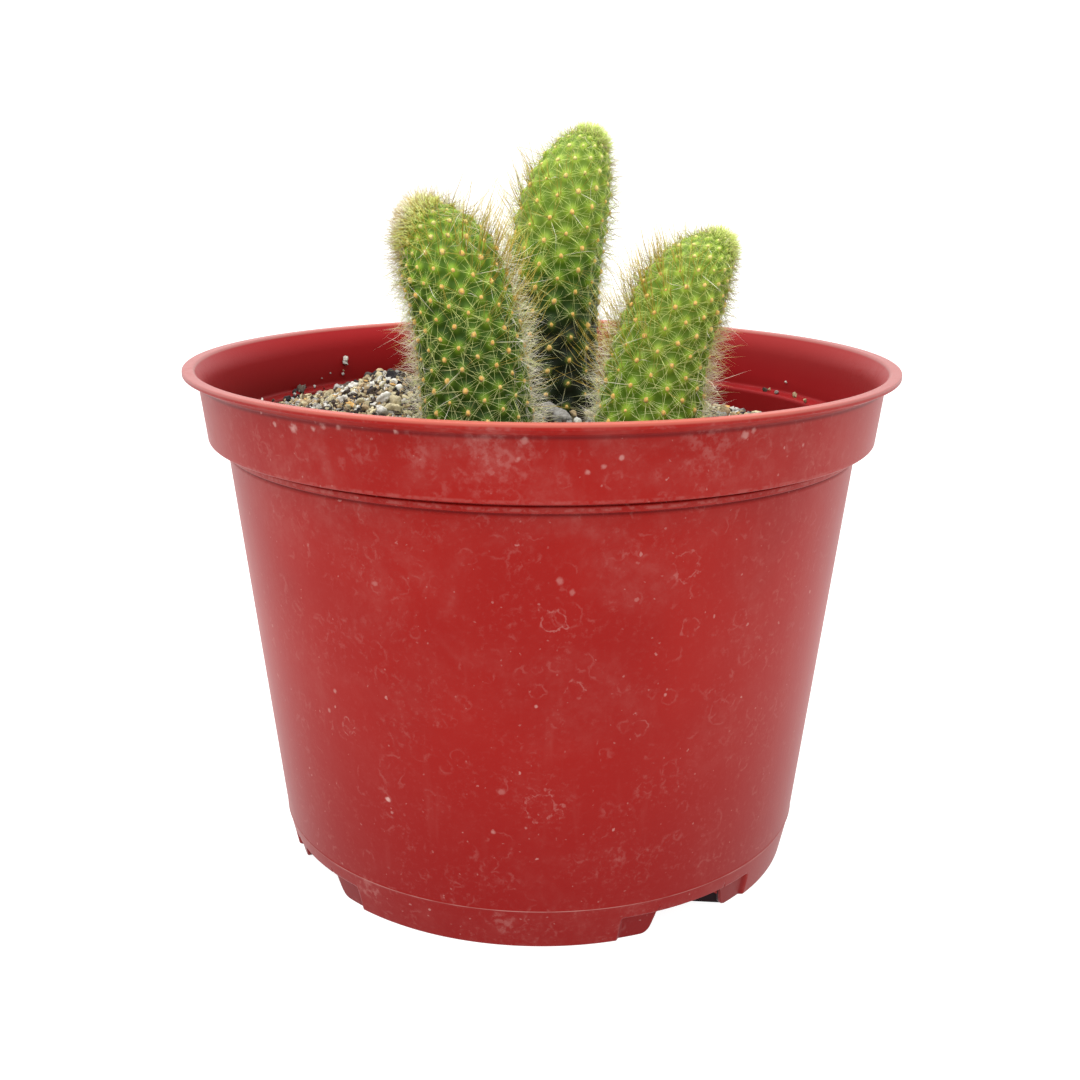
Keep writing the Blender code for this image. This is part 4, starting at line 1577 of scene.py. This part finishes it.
    def build_spines(
        self, areoles: Areoles, soil: "Soil", others: Sequence["Stem"], material: Material
    ) -> Piece:
        """All the stem's spines and the wool at its tip, as one mesh.

        Args:
            areoles: where the spines grow.
            soil: the soil under them.
            others: the stems that they keep clear of.
            material: the bristles.

        Returns:
            The spines.
        """
        rng = np.random.default_rng(self.seed)
        kinds = (self.radial, self.central, self.fuzz, self.fringe, self.stray, self.upright)
        sorts = [self.grow(areoles, sort, rng) for sort in kinds]
        sorts.append(self.crown(rng))
        points, blocks, values = [], [], {"along": [], "age": [], "tone": []}
        start = 0
        for strands in sorts:
            self.keep_clear(strands, soil, others)
            places, faces, numbers = strands.mesh()
            points.append(places)
            blocks.extend(block + start for block in faces)
            for key, found in numbers.items():
                values[key].append(found)
            start += len(places)
        joined = {key: np.concatenate(found) for key, found in values.items()}
        return make_piece(f"{self.name}_spines", np.concatenate(points), blocks, material, joined)

    def build(
        self, soil: "Soil", others: Sequence["Stem"], skin: Material, wool: Material,
        bristle: Material,
    ) -> None:
        """Make the stem's pieces.

        Args:
            soil: the soil round its foot.
            others: the other stems.
            skin: the green skin's material.
            wool: the areoles' material.
            bristle: the spines' material.
        """
        areoles = self.areoles(soil)
        pieces = (
            self.build_skin(skin),
            self.build_wool(areoles, wool),
            self.build_spines(areoles, soil, others, bristle),
        )
        for piece in pieces:
            settle(piece, self.name)


# The soil


class Mineral(Enum):
    """The sorts of grain in the mix: how common each is, and its colour."""

    PUMICE = (0.13, (0.70, 0.69, 0.63))
    CREAM = (0.20, (0.58, 0.51, 0.32))
    TAN = (0.22, (0.44, 0.33, 0.19))
    ORANGE = (0.03, (0.60, 0.36, 0.12))
    GREY = (0.11, (0.36, 0.35, 0.33))
    BARK = (0.18, (0.055, 0.038, 0.030))
    CINDER = (0.13, (0.018, 0.016, 0.020))


# larger chips on the soil: x, y, z and radius in mm, and sort
CHIPS = (
    (2.3, 9.5, 95.3, 2.7, Mineral.GREY), (4.6, 8.8, 94.6, 2.3, Mineral.GREY),
    (7.3, 9.8, 95.2, 1.1, Mineral.TAN), (8.9, 9.6, 94.6, 1.3, Mineral.BARK),
    (8.0, 6.0, 93.9, 1.2, Mineral.PUMICE), (10.2, 11.0, 94.9, 1.1, Mineral.CREAM),
    (-46.3, 22.0, 98.6, 2.3, Mineral.BARK), (-42.6, 12.0, 100.2, 1.9, Mineral.PUMICE),
    (-40.0, 19.0, 100.8, 2.0, Mineral.CINDER), (-37.4, 16.0, 101.0, 1.7, Mineral.CINDER),
    (-34.2, 12.0, 102.4, 1.6, Mineral.CINDER), (-35.4, 3.0, 99.3, 2.0, Mineral.PUMICE),
    (-32.6, -1.0, 98.2, 1.9, Mineral.CREAM), (-38.4, 9.0, 99.9, 1.1, Mineral.PUMICE),
    (-49.2, 16.0, 97.7, 1.4, Mineral.TAN), (-47.6, 19.0, 98.9, 1.1, Mineral.GREY),
    (-37.9, 6.6, 100.6, 1.3, Mineral.CINDER), (-36.0, 8.8, 101.9, 1.0, Mineral.PUMICE),
    (-34.5, 7.4, 101.5, 1.2, Mineral.PUMICE), (-42.2, 2.2, 98.2, 0.9, Mineral.ORANGE),
    (-34.9, -2.2, 97.6, 1.3, Mineral.PUMICE), (-40.4, 0.1, 97.9, 0.8, Mineral.PUMICE),
    (-39.4, 0.5, 98.2, 0.9, Mineral.CINDER), (-33.4, -0.8, 98.0, 0.9, Mineral.BARK),
    (-31.4, -1.6, 97.5, 0.8, Mineral.BARK), (-44.0, 8.8, 99.6, 1.2, Mineral.BARK),
    (-46.9, 16.2, 99.0, 1.2, Mineral.BARK), (-48.4, 9.0, 98.0, 0.9, Mineral.CREAM),
    (-44.4, 6.3, 98.6, 1.0, Mineral.PUMICE), (-40.4, 3.1, 99.0, 1.1, Mineral.CREAM),
    (-46.4, 6.2, 98.0, 0.8, Mineral.BARK), (-42.4, 5.5, 99.0, 0.9, Mineral.BARK),
    (-32.2, 1.9, 99.1, 1.3, Mineral.CREAM), (-50.0, 17.0, 98.0, 1.1, Mineral.TAN),
    (-37.4, 19.0, 102.9, 1.1, Mineral.TAN), (-58.8, 30.0, 94.6, 0.9, Mineral.CINDER),
    (-57.3, 31.5, 94.5, 0.9, Mineral.CREAM), (-60.1, 22.0, 95.3, 0.8, Mineral.TAN),
    (40.5, 4.0, 96.5, 2.3, Mineral.TAN), (39.3, 1.0, 95.8, 2.0, Mineral.GREY),
    (42.3, 1.0, 95.4, 1.6, Mineral.TAN),
)

# crumbs on the pot's inner ledge and wall: angle from +X, then distance from the middle, height and radius
# in mm, and sort
WALL_CRUMBS = (
    (152.2, 67.9, 96.2, 1.0, Mineral.CINDER), (149.4, 69.2, 96.5, 1.0, Mineral.BARK),
    (148.2, 69.3, 96.4, 0.8, Mineral.GREY), (147.2, 69.5, 96.3, 0.6, Mineral.CINDER),
    (150.8, 67.0, 96.1, 0.7, Mineral.BARK), (153.4, 66.9, 96.0, 0.6, Mineral.GREY),
    (144.9, 69.1, 96.2, 0.5, Mineral.GREY), (141.8, 70.2, 97.7, 0.3, Mineral.GREY),
    (139.4, 70.4, 98.6, 0.25, Mineral.GREY), (136.3, 70.1, 98.0, 0.5, Mineral.GREY),
    (136.0, 70.2, 98.8, 0.35, Mineral.TAN), (135.1, 70.4, 101.8, 0.9, Mineral.PUMICE),
    (135.4, 70.3, 100.7, 0.8, Mineral.GREY), (35.3, 68.0, 96.2, 0.9, Mineral.BARK),
    (34.4, 68.4, 96.3, 0.7, Mineral.TAN), (31.6, 67.8, 96.2, 0.7, Mineral.GREY),
    (26.8, 68.7, 96.2, 0.8, Mineral.TAN), (20.9, 67.0, 96.1, 0.7, Mineral.TAN),
    (31.3, 70.3, 98.5, 0.35, Mineral.PUMICE),
)


@dataclass
class Soil:
    """The gritty mix: a dark body, thousands of grains on it, and larger chips."""

    pot: Pot
    level: float = 93.2 * MM
    tilt: float = 0.03
    mound: tuple[float, float] = (-33.0 * MM, 14.0 * MM)
    mound_height: float = 8.5 * MM
    mound_spread: float = 11.3 * MM
    edge_drop: float = 2.2 * MM
    edge_start: float = 54.0 * MM
    edge_width: float = 12.0 * MM
    gap: float = 0.3 * MM
    brim_height: float = 94.0 * MM
    grain_height: float = 93.0 * MM
    middle_height: float = 50.0 * MM
    under_radius: float = 30.0 * MM
    columns: int = 300
    rows: int = 90
    grains: int = 13500
    mound_grains: int = 4600
    grain_sizes: tuple[float, float] = (0.25 * MM, 0.95 * MM)
    # crumbs on the inner ledge: from and to which angle in degrees, how many, and a factor on their size
    crumb_spans: tuple[tuple[float, float, int, float], ...] = (
        (130.0, 175.0, 6, 0.6), (95.0, 130.0, 30, 0.8), (175.0, 380.0, 60, 0.6),
    )
    crumb_ring: tuple[float, float] = (66.2 * MM, 70.0 * MM)
    crumb_sizes: tuple[float, float] = (0.35 * MM, 1.0 * MM)
    loose_chips: int = 45
    chip_reach: float = 60.0 * MM
    chip_sizes: tuple[float, float] = (0.7 * MM, 1.1 * MM)
    seed: int = 21

    def height_at(self, x: np.ndarray, y: np.ndarray) -> np.ndarray:
        """The soil's height: the level less the tilt, plus a bell-shaped mound, less a fall at the wall.

        Args:
            x: places across.
            y: places from front to back.

        Returns:
            The heights.
        """
        away = ((x - self.mound[0]) ** 2 + (y - self.mound[1]) ** 2) / (2.0 * self.mound_spread ** 2)
        edge = np.clip((np.hypot(x, y) - self.edge_start) / self.edge_width, 0.0, 1.0)
        flat = np.stack([x, y, np.zeros(np.shape(x))], axis=-1)
        grain = lattice_noise(flat, 6.0 * MM, self.seed) * 0.4 * MM
        drop = self.edge_drop * edge ** 2 * (0.35 + 0.65 * smooth_step(x, -55.0 * MM, -15.0 * MM))
        return self.level - self.tilt * x + self.mound_height * np.exp(-away) - drop + grain

    def wall_radius(self, height: np.ndarray) -> np.ndarray:
        """The radius of the pot's inner wall at a height.

        Args:
            height: one height or several.

        Returns:
            The radius for each.
        """
        pot = self.pot
        collar = pot.height - pot.collar_depth + pot.wall
        heights = [0.0, pot.seam_height, collar, collar + 0.01 * MM, pot.height]
        radii = [pot.foot, pot.seam_radius, pot.body_top, pot.collar_bottom, pot.collar_top]
        return np.interp(height, heights, radii) - pot.wall

    def build_body(self, stems: Sequence[Stem], material: Material) -> Piece:
        """The dark body: down the pot's inside, with a well for each stem.

        The top is the height formula on rings that shrink to the middle, plus fine noise.

        Args:
            stems: the stems that stand in it.
            material: the dark soil.

        Returns:
            The body.
        """
        angle = TURN * np.arange(self.columns) / self.columns
        brim = self.wall_radius(self.brim_height) - self.gap
        ledge = self.pot.height - self.pot.collar_depth - 0.4 * MM
        wall_height = np.minimum(self.height_at(brim * np.cos(angle), brim * np.sin(angle)), ledge)
        outer = self.wall_radius(wall_height) - self.gap
        inner_foot = self.pot.foot - self.pot.recess - self.pot.wall - self.gap
        step = self.pot.window_top + self.pot.wall + self.gap
        low = self.pot.floor_high + self.gap
        side = [
            (self.under_radius, low),
            (inner_foot - 1.0 * MM, low),
            (inner_foot, low + 1.0 * MM),
            (inner_foot, step),
            (self.wall_radius(step) - self.gap, step + 0.5 * MM),
            (self.wall_radius(self.middle_height) - self.gap, self.middle_height),
            (outer, wall_height),
        ]
        shares = np.linspace(0.985, 0.01, self.rows)[:, None]
        x = shares * outer * np.cos(angle)
        y = shares * outer * np.sin(angle)
        top = np.stack([x, y, self.height_at(x, y)], axis=-1)
        rough = lattice_noise(top, 1.6 * MM, self.seed + 1) * 0.45 * MM
        top[..., 2] += rough + lattice_noise(top, 0.8 * MM, 5) * 0.2 * MM - 0.35 * MM
        for stem in stems:
            away = stem.distance(top.reshape(-1, 3)).reshape(x.shape)
            top[..., 2] = np.where(away < -1.6 * MM, stem.root_height - 0.5 * MM, top[..., 2])
        grid = np.concatenate([np.stack([ring_points(radius, angle, z) for radius, z in side]), top])
        points, faces = capped_grid(grid, (0.0, 0.0, low), (0.0, 0.0, top[-1, :, 2].mean()))
        return make_piece("soil_body", points, faces, material)

    def scatter(
        self, rng: Rng, centre: Points, size: np.ndarray, tint: Points, detail: int, rough: float
    ) -> tuple[Points, Faces, Points]:
        """Irregular grains: balls with each vertex moved at random, stretched and turned.

        Args:
            rng: random numbers.
            centre: each grain's middle.
            size: each grain's radius.
            tint: each grain's colour.
            detail: the ball's subdivisions.
            rough: how far its vertices move, as a share of the radius.

        Returns:
            The vertices, the faces and the vertices' colours.
        """
        ball, faces = icosphere(detail)
        count = len(centre)
        shape = ball[None, :, :] * (1.0 + rng.uniform(-rough, rough, (count, len(ball), 1)))
        if detail > 1:
            shift = rng.uniform(0.0, 30.0, (count, 1, 3))
            shape = shape * (1.0 + 0.5 * lattice_noise(ball[None, :, :] + shift, 0.65, 3))[..., None]
        shape = shape * rng.uniform(0.5, 1.15, (count, 1, 3))
        turned = np.einsum("nij,nkj->nki", random_turns(rng, count), shape)
        points = centre[:, None, :] + turned * size[:, None, None]
        tints = np.repeat(tint, len(ball), axis=0)
        return points.reshape(-1, 3), repeat_faces(faces, count, len(ball)), tints

    def draw_tints(self, rng: Rng, centre: Points) -> Points:
        """A colour for each grain: its sort's, a little lighter or darker, with the sorts in patches.

        Args:
            rng: random numbers.
            centre: the grains' middles.

        Returns:
            The colours.
        """
        chances = np.cumsum([sort.value[0] for sort in Mineral])
        colours = np.array([sort.value[1] for sort in Mineral])
        patch = 0.3 * lattice_noise(centre, 3.0 * MM, self.seed + 7)
        drawn = np.clip(rng.random(len(centre)) + patch, 0.0, 0.999) * chances[-1]
        return colours[np.searchsorted(chances, drawn)] * rng.uniform(0.7, 1.15, (len(centre), 1))

    def build_grains(self, stems: Sequence[Stem], material: Material) -> list[Piece]:
        """The grains: scattered evenly over the top and in a heap, and left out where a stem stands.

        Args:
            stems: the stems.
            material: the mineral finish.

        Returns:
            The grains, in two pieces of every other grain.
        """
        rng = np.random.default_rng(self.seed)
        brim = self.wall_radius(self.grain_height) - 1.0 * MM
        radius = brim * np.sqrt(rng.random(self.grains))
        angle = TURN * rng.random(self.grains)
        heap = rng.normal(size=(self.mound_grains, 2)) * self.mound_spread
        x = np.concatenate([radius * np.cos(angle), self.mound[0] + heap[:, 0]])
        y = np.concatenate([radius * np.sin(angle), self.mound[1] + heap[:, 1]])
        within = np.hypot(x, y) < brim
        x, y = x[within], y[within]
        low, high = self.grain_sizes
        apart = np.hypot(x - self.mound[0], y - self.mound[1])
        size = low + (high - low) * rng.random(len(x)) ** 2.0
        size = size * (1.0 + 0.35 * smooth_step(apart, 2.0 * self.mound_spread, 3.0 * self.mound_spread))
        z = self.height_at(x, y) + size * rng.uniform(-0.35, 0.55, len(x))
        centre = np.stack([x, y, z], axis=-1)
        crumbs = self.crumbs(rng)
        centre = np.concatenate([centre, crumbs[:, :3]])
        size = np.concatenate([size, crumbs[:, 3]])
        free = np.all([stem.distance(centre) > 0.35 * size for stem in stems], axis=0)
        centre, size = centre[free], size[free]
        tint = self.draw_tints(rng, centre)
        placed = np.array([numbers for *numbers, _ in WALL_CRUMBS]).T
        radius, height, crumb_size = placed[1:] * MM
        centre = np.concatenate([centre, ring_points(radius, np.radians(placed[0]), height)])
        size = np.concatenate([size, crumb_size])
        tint = np.concatenate([tint, [sort.value[1] for *_, sort in WALL_CRUMBS]])
        pieces = []
        for step, name in enumerate(("soil_grains", "soil_grit")):
            points, faces, tints = self.scatter(rng, centre[step::2], size[step::2], tint[step::2], 1, 0.42)
            pieces.append(make_piece(name, points, [faces], material, {"tint": tints}, smooth=False))
        return pieces

    def crumbs(self, rng: Rng) -> Points:
        """Crumbs off the soil, on the inner ledge all round the pot.

        Args:
            rng: random numbers.

        Returns:
            Each crumb's middle and radius, as (n, 4).
        """
        ledge = self.pot.height - self.pot.collar_depth + self.pot.wall
        found = []
        for start, end, count, scale in self.crumb_spans:
            angle = np.radians(rng.uniform(start, end, count))
            radius = rng.uniform(*self.crumb_ring, count)
            size = rng.uniform(*self.crumb_sizes, count) * scale
            found.append(np.column_stack([ring_points(radius, angle, ledge + 0.5 * size), size]))
        return np.concatenate(found)

    def build_chips(self, stems: Sequence[Stem], material: Material) -> Piece:
        """The larger chips, half sunk in the soil and clear of the stems.

        Args:
            stems: the stems.
            material: the mineral finish.

        Returns:
            The chips.
        """
        rng = np.random.default_rng(self.seed + 2)
        count = self.loose_chips
        radius = self.chip_reach * np.sqrt(rng.random(count))
        angle = TURN * rng.random(count)
        size = rng.uniform(*self.chip_sizes, count)
        x, y = radius * np.cos(angle), radius * np.sin(angle)
        centre = np.stack([x, y, self.height_at(x, y) + 0.35 * size], axis=-1)
        tint = self.draw_tints(rng, centre)
        free = np.all([stem.distance(centre) > 1.1 * size for stem in stems], axis=0)
        placed = np.array([numbers for *numbers, _ in CHIPS]) * MM
        placed, placed_size = placed[:, :3], placed[:, 3]
        surface = self.height_at(placed[:, 0], placed[:, 1])
        placed[:, 2] = np.maximum(placed[:, 2], surface + 0.1 * placed_size)
        placed_tint = np.array([sort.value[1] for *_, sort in CHIPS])
        points, faces, tints = self.scatter(
            rng,
            np.concatenate([centre[free], placed]),
            np.concatenate([size[free], placed_size]),
            np.concatenate([tint[free], placed_tint]),
            3, 0.07,
        )
        return make_piece("soil_chips", points, [faces], material, {"tint": tints})

    def build(self, stems: Sequence[Stem]) -> None:
        """Make the soil's pieces.

        Args:
            stems: the stems that stand in it.
        """
        grain = MineralGrain().material()
        pieces = (
            self.build_body(stems, DarkSoil().material()),
            *self.build_grains(stems, grain),
            self.build_chips(stems, grain),
        )
        for piece in pieces:
            settle(piece, "soil")


# The studio


@dataclass(frozen=True)
class SoftLight:
    """A large square lamp that looks at the pot: its place, side and power."""

    name: str
    place: Triple
    side: float
    power: float

    def build(self, target: Triple) -> None:
        """Add the lamp.

        Args:
            target: the place that it looks at.
        """
        lamp = bpy.data.lights.new(self.name, "AREA")
        lamp.size = self.side
        lamp.energy = self.power
        thing = bpy.data.objects.new(self.name, lamp)
        thing.location = self.place
        direction = np.array(target) - np.array(self.place)
        across = math.hypot(direction[0], direction[1])
        turn = math.atan2(direction[1], direction[0]) - math.pi / 2.0
        thing.rotation_euler = (math.atan2(across, -direction[2]), 0.0, turn)
        bpy.context.scene.collection.objects.link(thing)


@dataclass
class Studio:
    """A white surround, a pale floor, soft lamps and the camera."""

    camera_place: Triple = (-0.19 * MM, -290.85 * MM, 150.62 * MM)
    camera_pitch: float = 0.27650
    camera_roll: float = 0.00604
    lens: float = 44.58
    floor_side: float = 12.0
    floor_colour: Colour = (0.32, 0.32, 0.32)
    floor_shade: Colour = (0.30, 0.30, 0.30)
    floor_light: float = 0.93
    surround_light: float = 1.3
    lamp_target: Triple = (0.0, 0.0, 80.0 * MM)
    lamps: tuple[SoftLight, ...] = (
        SoftLight("key", (-0.10, -0.38, 0.80), 0.6, 3.6),
        SoftLight("top", (-0.05, 0.20, 0.90), 0.7, 6.5),
    )

    def build_floor(self) -> None:
        """A wide pale matte floor, lit a little by itself."""
        graph = MaterialGraph("pale_floor")
        tone = graph.noise(0.4).remap(0.3, 0.7, 0.0, 0.04)
        colour = graph.mix(tone, self.floor_colour, self.floor_shade)
        graph.set(
            colour=colour, roughness=0.9, specular=0.0,
            light=(1.0, 1.0, 1.0), light_strength=self.floor_light,
        )
        half = self.floor_side / 2.0
        points = np.array([[-half, -half, 0.0], [half, -half, 0.0], [half, half, 0.0], [-half, half, 0.0]])
        make_piece("floor", points, [np.array([[0, 1, 2, 3]])], graph.material)

    def build_camera(self) -> None:
        """The camera, pitched down from level and rolled a little."""
        camera = bpy.data.cameras.new("camera")
        camera.lens = self.lens
        thing = bpy.data.objects.new("camera", camera)
        thing.location = self.camera_place
        tilt = math.pi / 2.0 - self.camera_pitch
        # turn about the view axis first, then raise the view from straight down to its pitch
        thing.rotation_mode = "XYZ"
        thing.rotation_euler = (tilt, 0.0, 0.0)
        roll = np.array([
            [math.cos(self.camera_roll), -math.sin(self.camera_roll), 0.0],
            [math.sin(self.camera_roll), math.cos(self.camera_roll), 0.0],
            [0.0, 0.0, 1.0],
        ])
        turned = np.array(thing.rotation_euler.to_matrix()) @ roll
        thing.rotation_euler = (
            math.atan2(turned[2, 1], turned[2, 2]),
            math.asin(-turned[2, 0]),
            math.atan2(turned[1, 0], turned[0, 0]),
        )
        bpy.context.scene.collection.objects.link(thing)
        bpy.context.scene.camera = thing

    def build(self) -> None:
        """Make the surround, the floor, the lamps and the camera."""
        world = bpy.data.worlds.new("surround")
        world.use_nodes = True
        background = world.node_tree.nodes["Background"]
        background.inputs["Color"].default_value = (1.0, 1.0, 1.0, 1.0)
        background.inputs["Strength"].default_value = self.surround_light
        bpy.context.scene.world = world
        bpy.context.scene.view_settings.view_transform = "Standard"
        self.build_floor()
        for lamp in self.lamps:
            lamp.build(self.lamp_target)
        self.build_camera()


STEMS = (
    Stem(
        name="stem_left", foot=(-12.2 * MM, -12.0 * MM), lean_foot=-4.3, lean_tip=-65.4, bend=4.33,
        length=63.5 * MM, radius=12.0 * MM, taper=0.19, dome=14.1 * MM, fullness=1.39, seed=31,
        ribs=20, pitch=4.7 * MM, spiral=0.5, twist=-12.0, first_rib=-0.086, first_whorl=-0.038,
        foot_age=0.35, ripening=4.0, fringe_reach=0.95, density=0.62, tip_length=1.0, tip_gold=0.5,
        crown_hairs=2400, crown_reach=6.4 * MM, crown_age=0.03, crown_tone=(0.80, 0.95),
    ),
    Stem(
        name="stem_middle", foot=(1.9 * MM, 27.0 * MM), lean_foot=-0.6, lean_tip=32.9, bend=3.04,
        length=77.6 * MM, radius=12.1 * MM, taper=0.2, dome=21.0 * MM, fullness=1.94, seed=47,
        ribs=15, pitch=5.6 * MM, spiral=-8.0 / 15.0, twist=23.0, first_rib=-0.127, first_whorl=0.075,
        ripening=0.62, shade=0.60, thinning=0.7, crown_hairs=700,
    ),
    Stem(
        name="stem_right", foot=(22.8 * MM, -6.0 * MM), lean_foot=0.9, lean_tip=53.5, bend=2.3,
        length=58.5 * MM, radius=12.5 * MM, taper=0.36, dome=16.3 * MM, fullness=1.7, seed=63,
        ribs=18, pitch=5.6 * MM, spiral=-8.0 / 18.0, twist=7.0, first_rib=-0.206, first_whorl=-0.091,
        foot_age=0.68, ripening=1.6, density=0.9, crown_hairs=600, crown_age=0.7,
    ),
)


def main() -> None:
    """Build the studio, the pot, the soil and the stems."""
    logging.basicConfig(level=logging.INFO, format="%(name)s: %(message)s")
    Studio().build()
    pot = Pot()
    pot.build()
    soil = Soil(pot)
    soil.build(STEMS)
    skin, wool, bristle = CactusSkin().material(), AreoleWool().material(), Bristle().material()
    for stem in STEMS:
        others = [other for other in STEMS if other is not stem]
        stem.build(soil, others, skin, wool, bristle)


if __name__ == "__main__":
    main()
